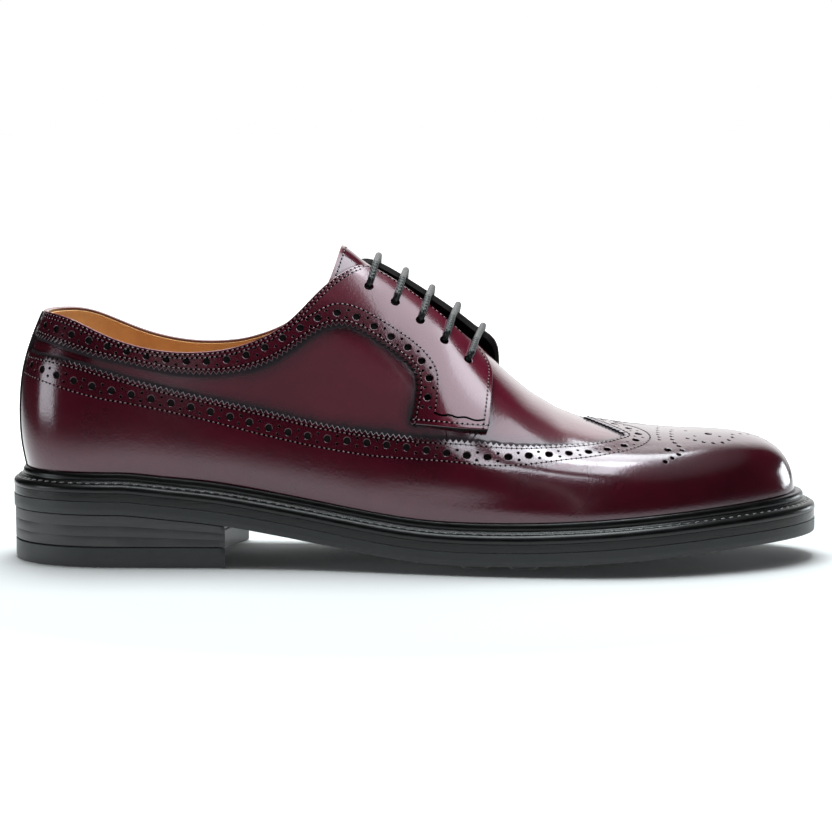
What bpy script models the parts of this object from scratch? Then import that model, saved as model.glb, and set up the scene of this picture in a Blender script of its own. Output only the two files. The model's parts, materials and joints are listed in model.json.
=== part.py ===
"""Brogue derby, the right shoe of a pair. Tables are in millimetres and the model in metres.
+X runs to the toe, +Y to the inner side of the foot and +Z up, with the floor at Z = 0.
In the tables x is measured from the back of the sole and z from the floor."""

import bmesh
import bpy
import numpy as np

MM = 0.001

# Driving sizes
SOLE_LENGTH = 308.0
UPPER_TOE = 300.0
HEEL_CENTRE = 45.0
TOE_PLAN_START = 225.0
TOE_PROFILE_START = 250.0
OUTSOLE_THICKNESS = 5.0
MIDSOLE_THICKNESS = 2.7
MIDSOLE_SET_BACK = 0.5
WELT_THICKNESS = 2.7
WELT_LIP_HEIGHT = 6.9
INSOLE_THICKNESS = 3.0
UPPER_WALL = 2.0
TONGUE_THICKNESS = 1.8
TOP_LIFT_HEIGHT = 7.7
HEEL_BREAST_X = 86.0
HEEL_BREAST_HOLLOW = 7.0
HEEL_SET_BACK = 0.4
GAP = 0.3

# Throat, facing and lace
THROAT_TOP = 137.0
THROAT_TOP_GAP = 8.0
THROAT_FRONT = 175.0
THROAT_FRONT_GAP = 11.5
THROAT_END = 186.0
THROAT_ROUND = 9.0
FACING_STEP = 3.0
FACING_FADE_START = 148.0
FACING_FULL_SHORT = 8.0
FACING_LOW_Z = 50.0
FACING_FULL_Z = 68.0
LACE_RADIUS = 1.4
LACE_BOW = 2.0

# Tongue
TONGUE_HALF_WIDTH = 24.0
TONGUE_FRONT = 198.0
TONGUE_TOP_MIDDLE = 127.0
TONGUE_TOP_SIDE = 121.0
TONGUE_RAISE = 3.6
TONGUE_FREE_FROM = 140.0
TONGUE_FREE_RUN = 14.0
TONGUE_RIM_CLEAR = 3.0

# Sole tread
TREAD_CROWN = 1.8
STUD_RADIUS = 6.0
STUD_DRAFT = 0.8
STUD_HEIGHT = 2.0
STUD_ROOT = 2.0
STUD_LEAST = 0.6

# Roundness of the ends in plan and of the toe in profile, as superellipse powers
SOLE_END_POWERS = (2.3, 2.1)
TOE_PROFILE_POWERS = (4.0, 3.0)
HEEL_PLAN_POWER = 2.3
HEEL_TURN = 58.0

# Steps over which the face of the last is measured for its normals
STEP_ALONG = 0.2
STEP_UP = 0.002
TIP_MARGIN = 0.05

SOLE_PLAN = (
    ("x", "axis", "outer", "inner"),
    (45, 0.0, 37.0, 37.0),
    (80, 0.0, 36.5, 35.5),
    (110, 0.0, 38.0, 33.0),
    (140, 0.3, 43.5, 35.5),
    (170, 1.0, 50.5, 42.0),
    (200, 1.8, 55.0, 48.5),
    (225, 2.8, 56.5, 50.0),
    (250, 4.0, 55.0, 48.5),
    (275, 5.0, 51.5, 45.5),
    (308, 6.0, 46.0, 42.0),
)
SOLE_PROFILE = (
    ("x", "bottom", "crown"),
    (45, 20.0, 0.0),
    (60, 18.8, 0.0),
    (80, 16.7, 0.0),
    (101, 13.4, 0.0),
    (115, 11.0, 0.1),
    (130, 8.4, 0.4),
    (146, 5.9, 0.8),
    (161, 4.3, 1.0),
    (180, 3.7, 1.0),
    (200, 3.9, 1.0),
    (224, 5.0, 1.0),
    (248, 6.6, 0.9),
    (273, 8.4, 0.5),
    (308, 10.2, 0.0),
)
LAST_PLAN = (
    ("x", "outer", "inner", "tuck", "belly", "side_pull", "top_pull"),
    (45, 32.0, 32.0, 3.0, 20.0, 0.38, 0.50),
    (80, 31.0, 30.5, 3.5, 18.0, 0.36, 0.50),
    (110, 33.0, 30.0, 4.0, 16.0, 0.40, 0.50),
    (140, 38.5, 33.0, 3.5, 14.0, 0.44, 0.52),
    (170, 45.0, 38.5, 3.0, 12.0, 0.46, 0.52),
    (200, 49.0, 43.5, 2.5, 10.0, 0.50, 0.55),
    (225, 50.5, 44.5, 2.0, 9.0, 0.55, 0.60),
    (250, 49.0, 43.0, 1.8, 9.0, 0.58, 0.62),
    (275, 45.5, 40.0, 1.6, 9.0, 0.58, 0.62),
    (300, 40.0, 36.5, 1.5, 9.0, 0.58, 0.62),
)
LAST_CREST = (
    ("x", "z", "inward"),
    (45, 150.0, 0.0),
    (80, 140.0, 0.3),
    (100, 130.0, 0.8),
    (120, 122.0, 1.4),
    (131, 117.8, 1.5),
    (143, 112.0, 1.5),
    (154, 105.0, 1.5),
    (164, 97.0, 1.5),
    (173, 88.6, 1.5),
    (182, 79.2, 1.5),
    (192, 69.5, 1.4),
    (201, 62.5, 1.3),
    (210, 57.2, 1.1),
    (220, 53.2, 0.9),
    (234, 50.4, 0.6),
    (249, 48.8, 0.3),
    (265, 48.3, 0.1),
    (300, 48.3, 0.0),
)
HEEL_BACK = (
    ("z", "x"),
    (28, 7.8),
    (38, 5.4),
    (46, 4.1),
    (55, 3.7),
    (65, 4.2),
    (74, 5.6),
    (83, 8.4),
    (90, 11.2),
    (97, 14.4),
    (150, 36.0),
)
TOPLINE = (
    ("along", "z"),
    (-13, 95.0),
    (6, 94.8),
    (24, 93.0),
    (36, 88.9),
    (48, 84.4),
    (58, 81.9),
    (68, 80.7),
    (77, 80.7),
    (85, 81.5),
    (94, 83.8),
    (102, 87.1),
    (110, 92.4),
    (116, 98.3),
    (122, 104.4),
    (129, 109.6),
    (134, 112.0),
    (138, 116.0),
)
EYELETS = (
    ("x", "from_crest"),
    (139.0, 18.0),
    (149.0, 19.3),
    (158.3, 21.0),
    (167.2, 22.6),
    (176.0, 22.8),
)
WELT_WALL_HEIGHTS = (0.0, 3.3, 6.4)
WELT_SECTION = (
    ("across", "up"),
    (1.0, 0.0),
    (1.0, WELT_THICKNESS),
    (0.45, WELT_THICKNESS + 0.3),
    (0.34, WELT_LIP_HEIGHT - 1.6),
    (0.16, WELT_LIP_HEIGHT),
)
STUDS = (
    ("x", "count", "half_spread"),
    (162, 3, 24.0),
    (180, 4, 34.0),
    (198, 5, 38.0),
    (216, 4, 34.0),
    (234, 3, 28.0),
)


def smooth_curve(xs, ys, first_slope=None, last_slope=None):
    """A cubic spline through the given points, with the slope at an end where one is given."""
    xs = np.asarray(xs, float)
    ys = np.asarray(ys, float)
    count = len(xs)
    step = np.diff(xs)
    rise = np.diff(ys, axis=0) / step.reshape((-1,) + (1,) * (ys.ndim - 1))
    system_rows = np.zeros((count, count))
    right = np.zeros(ys.shape)
    system_rows[0, 0] = 1.0
    system_rows[-1, -1] = 1.0
    for i in range(1, count - 1):
        system_rows[i, i - 1 : i + 2] = step[i - 1], 2 * (step[i - 1] + step[i]), step[i]
        right[i] = 6 * (rise[i] - rise[i - 1])
    if first_slope is not None:
        system_rows[0, :2] = 2 * step[0], step[0]
        right[0] = 6 * (rise[0] - np.asarray(first_slope))
    if last_slope is not None:
        system_rows[-1, -2:] = step[-1], 2 * step[-1]
        right[-1] = 6 * (np.asarray(last_slope) - rise[-1])
    bend = np.linalg.solve(system_rows, right)

    def at(x):
        x = np.clip(np.asarray(x, float), xs[0], xs[-1])
        i = np.clip(np.searchsorted(xs, x) - 1, 0, count - 2)
        width = step[i]
        before = (x - xs[i]) / width
        after = 1 - before
        shape = before.shape + (1,) * (ys.ndim - 1)
        width, before, after = (v.reshape(shape) for v in (width, before, after))
        straight = after * ys[i] + before * ys[i + 1]
        curl = (after**3 - after) * bend[i] + (before**3 - before) * bend[i + 1]
        return straight + curl * width**2 / 6

    return at


def column(table, name, first_slope=None):
    """One named column of a table as a smooth curve of the table's first column."""
    names = table[0]
    rows = np.array(table[1:], float)
    return smooth_curve(rows[:, 0], rows[:, names.index(name)], first_slope)


def ramp(value):
    """0 to 1 with level ends."""
    value = np.clip(value, 0, 1)
    return value * value * (3 - 2 * value)


AXIS = column(SOLE_PLAN, "axis", 0.0)
SOLE_HALF = {side: column(SOLE_PLAN, side, 0.0) for side in ("outer", "inner")}
SOLE_BOTTOM = column(SOLE_PROFILE, "bottom", 0.0)
SOLE_CROWN = column(SOLE_PROFILE, "crown")
LAST_HALF = {side: column(LAST_PLAN, side, 0.0) for side in ("outer", "inner")}
TUCK = column(LAST_PLAN, "tuck", 0.0)
BELLY = column(LAST_PLAN, "belly", 0.0)
SIDE_PULL = column(LAST_PLAN, "side_pull", 0.0)
TOP_PULL = column(LAST_PLAN, "top_pull", 0.0)
CREST_Z = column(LAST_CREST, "z", 0.0)
CREST_INWARD = column(LAST_CREST, "inward", 0.0)
BACK_X = column(HEEL_BACK, "x")
TOP_Z = column(TOPLINE, "z", 0.0)
SIGN = {"outer": -1.0, "inner": 1.0}


def end_round(x, start, end, powers):
    """Share of the full width or height left between the start of a rounded end and its tip."""
    along = np.clip((x - start) / (end - start), 0, 1)
    return (1 - along ** powers[0]) ** (1 / powers[1])


def bed_z(x):
    """Height of the face that the upper and insole stand on."""
    return SOLE_BOTTOM(x) + OUTSOLE_THICKNESS + MIDSOLE_THICKNESS + 2 * GAP


def half_section(x, side):
    """Half of the last's section as a smooth curve: out from the crest, and up from the bed."""
    plan = end_round(x, TOE_PLAN_START, UPPER_TOE, SOLE_END_POWERS)
    profile = end_round(x, TOE_PROFILE_START, UPPER_TOE, TOE_PROFILE_POWERS)
    half = LAST_HALF[side](x) * plan - SIGN[side] * CREST_INWARD(x)
    height = (CREST_Z(x) - bed_z(x)) * profile
    belly = BELLY(x) * profile
    tuck = TUCK(x) * plan
    knots = []
    for angle in np.radians((60, 30)):
        share = (1 - np.cos(angle)) / (1 - np.cos(np.radians(60)))
        low = 1 - np.sin(angle) / np.sin(np.radians(60))
        knots.append((half - tuck * share, belly * low))
    handle = belly + SIDE_PULL(x) * (height - belly)
    for q in np.linspace(0, 1, 6):
        weights = (1 - q) ** 3, 3 * q * (1 - q) ** 2, 3 * q * q * (1 - q), q**3
        out = np.dot(weights, (half, half, TOP_PULL(x) * half, 0.0))
        knots.append((out, np.dot(weights, (belly, handle, height, height))))
    knots = np.array(knots)
    length = np.concatenate(([0], np.cumsum(np.linalg.norm(np.diff(knots, axis=0), axis=1))))
    return smooth_curve(length / length[-1], knots, last_slope=(-length[-1], 0))


def rib(side, along, ts):
    """Points of the last's face on one rib. ts run from 0 at the feather edge to 1 at the crest.
    Forward of the heel centre along is x, and behind it the rib turns round the heel."""
    ts = np.asarray(ts, float)
    x = max(along, HEEL_CENTRE)
    section = half_section(x, side)(ts)
    middle = AXIS(x)
    y = middle + CREST_INWARD(x) + SIGN[side] * section[:, 0]
    z = bed_z(x) + section[:, 1]
    if along >= HEEL_CENTRE:
        return np.column_stack((np.full(len(ts), x), y, z))
    turn = np.pi / 2 * min((HEEL_CENTRE - along) / HEEL_TURN, 1.0)
    power = HEEL_PLAN_POWER
    reach = (np.cos(turn) ** power + np.sin(turn) ** power) ** (-1 / power)
    back = HEEL_CENTRE - BACK_X(z)
    y = middle + (y - middle) * np.cos(turn) * reach
    return np.column_stack((HEEL_CENTRE - back * np.sin(turn) * reach, y, z))


def normals(side, along, ts):
    """Outward unit normals of the last's face on one rib."""
    ts = np.asarray(ts, float)
    low = max(along - STEP_ALONG, HEEL_CENTRE - HEEL_TURN)
    high = min(along + STEP_ALONG, UPPER_TOE - TIP_MARGIN)
    lengthwise = rib(side, high, ts) - rib(side, low, ts)
    upward = rib(side, along, np.minimum(ts + STEP_UP, 1)) - rib(side, along, np.maximum(ts - STEP_UP, 0))
    normal = np.cross(lengthwise, upward) * -SIGN[side]
    normal[ts >= 1, 1] = 0
    if along <= HEEL_CENTRE - HEEL_TURN:
        normal[:, 1] = 0
    return normal / np.linalg.norm(normal, axis=1)[:, None]


def place_on_rib(side, along, measure, target):
    """The t at which a measure that grows along the rib reaches its target."""
    ts = np.linspace(0, 1, 161)
    values = measure(rib(side, along, ts))
    return float(np.interp(target, np.maximum.accumulate(values), ts))


def t_at_height(side, along, z):
    return place_on_rib(side, along, lambda points: points[:, 2], z)


def t_at_half_gap(side, x, gap):
    crest = AXIS(x) + CREST_INWARD(x)
    return place_on_rib(side, x, lambda points: -np.abs(points[:, 1] - crest), -gap)


def throat_half_gap(x):
    """Half the width of the throat slot, wider to the front and closing with a round end."""
    left = np.clip((THROAT_END - x) / THROAT_ROUND, 0, 1)
    forward = ramp((x - THROAT_TOP) / (THROAT_FRONT - THROAT_TOP))
    gap = THROAT_TOP_GAP + (THROAT_FRONT_GAP - THROAT_TOP_GAP) * forward
    return gap * np.sqrt(1 - (1 - left) ** 2)


def rim_t(side, along):
    """The t of the upper's cut edge: the collar, then the throat, then the closed crest."""
    if along >= THROAT_END:
        return 1.0
    t = 1.0
    if along < TOPLINE[-1][0]:
        t = t_at_height(side, along, float(TOP_Z(along)))
    if along > TOPLINE[-4][0]:
        t = min(t, t_at_half_gap(side, along, float(throat_half_gap(along))))
    return t


def facing_proud(along, z):
    """How far the facing stands out from the last, most at its front edge."""
    if along > THROAT_END:
        return np.zeros_like(z)
    lengthwise = ramp((along - FACING_FADE_START) / (THROAT_END - FACING_FADE_START - FACING_FULL_SHORT))
    return FACING_STEP * lengthwise * ramp((z - FACING_LOW_Z) / (FACING_FULL_Z - FACING_LOW_Z))


def remove_old_objects():
    for old in list(bpy.data.objects):
        bpy.data.objects.remove(old)


def make_material(name, colour, roughness):
    material = bpy.data.materials.new(name)
    material.use_nodes = True
    shader = material.node_tree.nodes["Principled BSDF"]
    shader.inputs["Base Color"].default_value = (*colour, 1.0)
    shader.inputs["Roughness"].default_value = roughness
    material.diffuse_color = (*colour, 1.0)
    return material


def in_model(points):
    """Table millimetres to model metres, with the origin under the middle of the sole's box."""
    stations = np.linspace(TOE_PLAN_START - 30, TOE_PLAN_START + 30, 61)
    widest = max(AXIS(x) + SOLE_HALF["inner"](x) * sole_round(x) for x in stations)
    narrowest = min(AXIS(x) - SOLE_HALF["outer"](x) * sole_round(x) for x in stations)
    middle = (SOLE_LENGTH / 2, (widest + narrowest) / 2, 0.0)
    return (np.asarray(points, float) - middle) * MM


def make_solid(name, points, faces, material):
    """A closed mesh object from table points and faces, with equal points welded."""
    mesh = bpy.data.meshes.new(name)
    mesh.from_pydata(in_model(points).tolist(), [], faces)
    body = bmesh.new()
    body.from_mesh(mesh)
    bmesh.ops.remove_doubles(body, verts=body.verts, dist=2e-6)
    bmesh.ops.dissolve_degenerate(body, edges=body.edges, dist=1e-6)
    bmesh.ops.recalc_face_normals(body, faces=body.faces)
    body.to_mesh(mesh)
    body.free()
    mesh.materials.append(material)
    solid = bpy.data.objects.new(name, mesh)
    bpy.context.collection.objects.link(solid)
    return solid


def quads(rows, columns, offset=0, closed=False):
    """Faces of a grid of points kept row by row."""
    found = []
    for i in range(rows - 1):
        for j in range(columns if closed else columns - 1):
            following = (j + 1) % columns
            a = offset + i * columns
            b = a + columns
            found.append((a + j, a + following, b + following, b + j))
    return found


def sole_round(x):
    """Share of the sole's full width left at x, at either end."""
    toe = end_round(x, TOE_PLAN_START, SOLE_LENGTH, SOLE_END_POWERS)
    heel = end_round(HEEL_CENTRE - x, 0, HEEL_CENTRE, SOLE_END_POWERS)
    return toe * heel


def sole_edge(side, stations, set_back=0.0):
    """Plan points of one edge of the sole, set back by a margin."""
    stretch = (SOLE_LENGTH - 2 * set_back) / SOLE_LENGTH
    points = []
    for x in stations:
        half = SOLE_HALF[side](x) * sole_round(x)
        half = half * (1 - set_back / SOLE_HALF[side](x))
        points.append((set_back + x * stretch, AXIS(x) + SIGN[side] * half))
    return np.array(points)


def sole_stations(end=SOLE_LENGTH):
    """x of the sole's sections, closer together round the ends."""
    heel = HEEL_CENTRE * (1 - np.cos(np.linspace(0, np.pi / 2, 10)))
    body = np.linspace(HEEL_CENTRE, TOE_PLAN_START, 21)[1:]
    toe = TOE_PLAN_START + (SOLE_LENGTH - TOE_PLAN_START) * np.sin(np.linspace(0, np.pi / 2, 15)[1:])
    stations = np.concatenate((heel, body, toe))
    if end < SOLE_LENGTH:
        stations = np.append(stations[stations < end - 3], end)
    return stations


def make_plate(name, outer, inner, bottom, top, material, across=4, hollow=0.0):
    """A plate between two edges in plan, with its lower and upper faces given as functions.
    The front end may be hollowed towards the middle."""
    shares = np.linspace(0, 1, across + 1)
    lower = []
    upper = []
    back = outer[0, 0]
    reach = outer[-1, 0] - back
    for a, b in zip(outer, inner):
        for share in shares:
            x, y = a + (b - a) * share
            middle = 1 - (2 * share - 1) ** 2
            x = x - hollow * middle * (x - back) / reach
            lower.append((x, y, bottom(x, 2 * share - 1)))
            upper.append((x, y, top(x, 2 * share - 1)))
    rows = len(outer)
    wide = across + 1
    faces = quads(rows, wide) + quads(rows, wide, rows * wide)
    second = rows * wide
    for i in range(rows - 1):
        for j in (0, across):
            a = i * wide + j
            faces.append((a, a + wide, second + a + wide, second + a))
    for row in (0, rows - 1):
        for j in range(across):
            a = row * wide + j
            faces.append((a, a + 1, second + a + 1, second + a))
    return make_solid(name, lower + upper, faces, material)


def make_outsole(material, stud_sides=14):
    """The rubber sole, crowned under the forefoot, with round studs joined to it."""
    stations = sole_stations()

    def bottom(x, share):
        return float(SOLE_BOTTOM(x) - TREAD_CROWN * SOLE_CROWN(x) * (1 - share**2))

    def top(x, share):
        return float(SOLE_BOTTOM(x) + OUTSOLE_THICKNESS)

    outer = sole_edge("outer", stations)
    inner = sole_edge("inner", stations)
    outsole = make_plate("outsole", outer, inner, bottom, top, material, across=6)
    points = []
    faces = []
    for x, count, spread in STUDS[1:]:
        for y in np.linspace(-spread, spread, count):
            middle = float(AXIS(x))
            half = float(SOLE_HALF["outer" if y < 0 else "inner"](x) * sole_round(x))
            under = bottom(x, y / half)
            floor = max(0.0, under - STUD_HEIGHT) if under > STUD_HEIGHT + STUD_LEAST else 0.0
            first = len(points)
            for radius, z in ((STUD_RADIUS, under + STUD_ROOT), (STUD_RADIUS - STUD_DRAFT, floor)):
                for turn in np.linspace(0, 2 * np.pi, stud_sides, endpoint=False):
                    points.append((x + radius * np.cos(turn), middle + y + radius * np.sin(turn), z))
            faces.append(tuple(range(first, first + stud_sides)))
            faces.append(tuple(range(first + stud_sides, first + 2 * stud_sides)))
            faces.extend(quads(2, stud_sides, first, closed=True))
    studs = make_solid("stud_shapes", points, faces, material)
    studs.hide_render = True
    studs.display_type = "WIRE"
    union = outsole.modifiers.new("studs", "BOOLEAN")
    union.operation = "UNION"
    union.solver = "EXACT"
    union.object = studs
    return outsole


def make_midsole(material):
    stations = sole_stations()
    outer = sole_edge("outer", stations, MIDSOLE_SET_BACK)
    inner = sole_edge("inner", stations, MIDSOLE_SET_BACK)
    low = OUTSOLE_THICKNESS + GAP

    def bottom(x, share):
        return float(SOLE_BOTTOM(x) + low)

    def top(x, share):
        return float(SOLE_BOTTOM(x) + low + MIDSOLE_THICKNESS)

    return make_plate("midsole", outer, inner, bottom, top, material, across=2)


def make_heel(stack_material, lift_material):
    """The stack under the seat and the flat lift below it, both with a hollowed breast."""
    stations = sole_stations(HEEL_BREAST_X)
    outer = sole_edge("outer", stations, HEEL_SET_BACK)
    inner = sole_edge("inner", stations, HEEL_SET_BACK)

    def seat(x, share):
        return float(SOLE_BOTTOM(x) - GAP)

    make_plate(
        "heel_stack", outer, inner, lambda x, share: TOP_LIFT_HEIGHT + GAP, seat,
        stack_material, 4, HEEL_BREAST_HOLLOW,
    )
    make_plate(
        "heel_top_lift", outer, inner, lambda x, share: 0.0, lambda x, share: TOP_LIFT_HEIGHT,
        lift_material, 4, HEEL_BREAST_HOLLOW,
    )


def upper_stations():
    """Places of the upper's ribs along its length, from the toe to the back of the heel."""
    toe = TOE_PLAN_START + (UPPER_TOE - TOE_PLAN_START) * np.sin(np.linspace(np.pi / 2, 0, 15)[1:])
    vamp = np.linspace(TOE_PLAN_START, THROAT_END + 0.6, 8)[1:]
    throat = np.concatenate((THROAT_END - np.array((0.0, 1.0, 3.0, 6.0, 9.0)), np.linspace(173, 142, 6)))
    collar = np.concatenate((np.linspace(138, 108, 13), np.linspace(103, HEEL_CENTRE, 11)))
    heel = HEEL_CENTRE - HEEL_TURN * np.linspace(0, 1, 11)[1:]
    return np.concatenate((toe, vamp, throat, collar, heel))


def upper_faces(side, rows):
    """Outer and inner points of one half of the upper, rib by rib."""
    outer = []
    inner = []
    for along in upper_stations():
        ts = np.linspace(0, rim_t(side, along), rows)
        points = rib(side, along, ts)
        normal = normals(side, along, ts)
        outer.append(points + normal * facing_proud(along, points[:, 2])[:, None])
        inner.append(points - normal * UPPER_WALL)
    return np.array(outer), np.array(inner)


def make_upper(material, rows=11):
    """The hollow upper: two halves that share the toe tip, the crest of the vamp and the heel back."""
    stations = upper_stations()
    closed_to = int(np.sum(stations >= THROAT_END))
    points = []
    faces = []
    tip = np.array((UPPER_TOE, AXIS(UPPER_TOE), bed_z(UPPER_TOE)))
    tips = (tip, tip - (UPPER_WALL, 0, 0))
    for side in ("outer", "inner"):
        skins = upper_faces(side, rows)
        firsts = []
        for skin, point in zip(skins, tips):
            firsts.append(len(points))
            points.extend(skin.reshape(-1, 3).tolist())
            points.append(tuple(point))
            first = firsts[-1]
            last = first + len(stations) * rows
            faces.extend(quads(len(stations), rows, first))
            faces.extend((last, first + j, first + j + 1) for j in range(rows - 1))
        shift = firsts[1] - firsts[0]
        tip_at = firsts[0] + len(stations) * rows
        faces.append((tip_at, firsts[0], firsts[1], tip_at + shift))
        for i in range(len(stations) - 1):
            a = firsts[0] + i * rows
            faces.append((a, a + rows, a + rows + shift, a + shift))
            if i >= closed_to - 1:
                a = a + rows - 1
                faces.append((a, a + rows, a + rows + shift, a + shift))
    return make_solid("upper", points, faces, material)


def upper_outline(side, up, samples=70):
    """Plan points of one side of the upper at a height over the bed, from the toe to the heel back."""
    toe = UPPER_TOE - (UPPER_TOE - TOE_PLAN_START) * (1 - np.sin(np.linspace(np.pi / 2, 0, 40)))
    body = np.linspace(TOE_PLAN_START, HEEL_CENTRE - HEEL_TURN, samples)[1:]
    points = [(UPPER_TOE, float(AXIS(UPPER_TOE)))]
    for along in np.concatenate((toe, body)):
        if along > UPPER_TOE - 0.15:
            continue
        bed = bed_z(max(along, HEEL_CENTRE))
        t = t_at_height(side, along, bed + up)
        points.append(tuple(rib(side, along, [t])[0, :2]))
    return np.array(points)


def resampled(points, count):
    """Points at equal steps along a line."""
    length = np.concatenate(([0], np.cumsum(np.linalg.norm(np.diff(points, axis=0), axis=1))))
    steps = np.linspace(0, length[-1], count)
    return np.column_stack([np.interp(steps, length, points[:, k]) for k in range(points.shape[1])])


def pushed_out(points, distance):
    """A half outline moved along its own normal, away from the middle of the shoe."""
    tangent = np.gradient(points, axis=0)
    normal = np.column_stack((tangent[:, 1], -tangent[:, 0]))
    middle = np.column_stack((np.full(len(points), SOLE_LENGTH / 2), AXIS(points[:, 0])))
    facing = np.sign(np.sum(normal * (points - middle), axis=1))
    normal = normal / np.linalg.norm(normal, axis=1)[:, None] * facing[:, None]
    normal[0] = (1, 0)
    normal[-1] = (-1, 0)
    return points + normal * distance


def make_welt(material, half_count=52):
    """The welt: a flat strip with a raised lip that follows the upper all round."""
    stations = sole_stations()[::-1]
    fine = np.interp(np.linspace(0, 1, 400), np.linspace(0, 1, len(stations)), stations)
    rings = {}
    for side in ("outer", "inner"):
        walls = []
        for up in WELT_WALL_HEIGHTS:
            wall = pushed_out(resampled(upper_outline(side, up), half_count + 1), 2 * GAP)
            walls.append(wall)
        edge = resampled(sole_edge(side, fine), half_count + 1)
        rings[side] = walls, edge
    points = []
    order = [("outer", i) for i in range(half_count + 1)]
    order += [("inner", i) for i in range(half_count - 1, 0, -1)]
    for side, i in order:
        walls, edge = rings[side]
        low, middle, high = (wall[i] for wall in walls)
        rim = edge[i]
        base = [(*low, WELT_WALL_HEIGHTS[0])]
        for across, up in WELT_SECTION[1:]:
            start = low + (high - low) * min(up / WELT_WALL_HEIGHTS[2], 1.0)
            base.append((*(start + (rim - start) * across), up))
        base.append((*high, WELT_WALL_HEIGHTS[2]))
        base.append((*middle, WELT_WALL_HEIGHTS[1]))
        floor = float(bed_z(np.clip(rim[0], 0, SOLE_LENGTH)))
        points.extend((x, y, floor + up) for x, y, up in base)
    wide = len(WELT_SECTION) + 2
    rows = len(order)
    faces = quads(rows, wide, 0, closed=True)
    for j in range(wide):
        following = (j + 1) % wide
        a = (rows - 1) * wide
        faces.append((a + j, a + following, following, j))
    return make_solid("welt", points, faces, material)


def make_insole(material, half_count=30):
    """The board inside the upper, clear of its wall."""
    edges = {}
    for side in ("outer", "inner"):
        outline = resampled(upper_outline(side, 0.0), half_count + 1)
        edges[side] = pushed_out(outline, -(UPPER_WALL + 2 * GAP))
        edges[side][[0, -1], 1] = (AXIS(UPPER_TOE), AXIS(HEEL_CENTRE))

    def bottom(x, share):
        return float(bed_z(x)) + GAP * 0.5

    def top(x, share):
        return float(bed_z(x)) + INSOLE_THICKNESS

    return make_plate("insole", edges["outer"], edges["inner"], bottom, top, material, across=3)


def make_tongue(material, across=16, rows=14):
    """A curved leaf under the throat. Its top stands free and rises a little in the middle."""
    outside = []
    inside = []
    for share in np.linspace(-1, 1, across + 1):
        side = "outer" if share < 0 else "inner"
        top = TONGUE_TOP_SIDE + (TONGUE_TOP_MIDDLE - TONGUE_TOP_SIDE) * (1 - share**2)
        for x in np.linspace(top, TONGUE_FRONT, rows):
            out = abs(share) * TONGUE_HALF_WIDTH
            t = t_at_half_gap(side, x, out)
            point = rib(side, x, [t])[0]
            normal = normals(side, x, [t])[0]
            crest = AXIS(x) + CREST_INWARD(x)
            clear = abs(rib(side, x, [rim_t(side, x)])[0, 1] - crest) - TONGUE_RIM_CLEAR
            raised = max(0.0, 1 - (out / max(clear, 0.1)) ** 2) * ramp((TONGUE_FREE_FROM - x) / TONGUE_FREE_RUN)
            depth = UPPER_WALL + 2 * GAP - TONGUE_RAISE * raised
            outside.append(point - normal * depth)
            inside.append(point - normal * (depth + TONGUE_THICKNESS))
    count = across + 1
    second = count * rows
    faces = quads(count, rows) + quads(count, rows, second)
    for i in range(count - 1):
        for j in (0, rows - 1):
            a = i * rows + j
            faces.append((a, a + rows, second + a + rows, second + a))
    for j in range(rows - 1):
        for a in (j, (count - 1) * rows + j):
            faces.append((a, a + 1, second + a + 1, second + a))
    return make_solid("tongue", outside + inside, faces, material)


def make_lace_bar(number, x, half_span, material):
    """One straight bar of the lace, over both facings."""
    path = []
    for out in np.linspace(-half_span, half_span, 13):
        side = "outer" if out < 0 else "inner"
        at = x + LACE_BOW * (1 - (out / half_span) ** 2)
        t = t_at_half_gap(side, at, abs(out))
        point = rib(side, at, [t])
        normal = normals(side, at, [t])
        lift = facing_proud(at, point[:, 2]) + LACE_RADIUS + GAP
        path.append((point + normal * lift[:, None])[0])
    curve = bpy.data.curves.new(f"lace_bar_{number}", "CURVE")
    curve.dimensions = "3D"
    curve.bevel_depth = LACE_RADIUS * MM
    curve.bevel_resolution = 2
    curve.use_fill_caps = True
    line = curve.splines.new("POLY")
    line.points.add(len(path) - 1)
    for knot, point in zip(line.points, in_model(path)):
        knot.co = (*point, 1.0)
    curve.materials.append(material)
    bar = bpy.data.objects.new(f"lace_bar_{number}", curve)
    bpy.context.collection.objects.link(bar)
    return bar


remove_old_objects()
RUBBER = make_material("sole_rubber", (0.02, 0.022, 0.02), 0.6)
BLACK_LEATHER = make_material("black_edge_leather", (0.01, 0.01, 0.01), 0.4)
CALF = make_material("burgundy_calf", (0.12, 0.012, 0.02), 0.25)
TAN = make_material("tan_leather", (0.45, 0.2, 0.07), 0.6)
CORD = make_material("black_cord", (0.01, 0.012, 0.012), 0.6)
make_outsole(RUBBER)
make_midsole(BLACK_LEATHER)
make_heel(BLACK_LEATHER, RUBBER)
make_welt(BLACK_LEATHER)
make_insole(TAN)
make_upper(CALF)
make_tongue(CALF)
for bar_number, (eyelet_x, eyelet_out) in enumerate(EYELETS[1:], 1):
    make_lace_bar(bar_number, eyelet_x, eyelet_out, CORD)
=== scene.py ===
"""Looks of the brogue derby: burgundy calf, punched and gimped, on a black welted sole.
Tables are in millimetres: x from the back of the sole, y to the inner side, z from the floor."""

import json
import bmesh
import bpy
import numpy as np
from mathutils import Matrix, Vector
from mathutils.geometry import delaunay_2d_cdt

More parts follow.
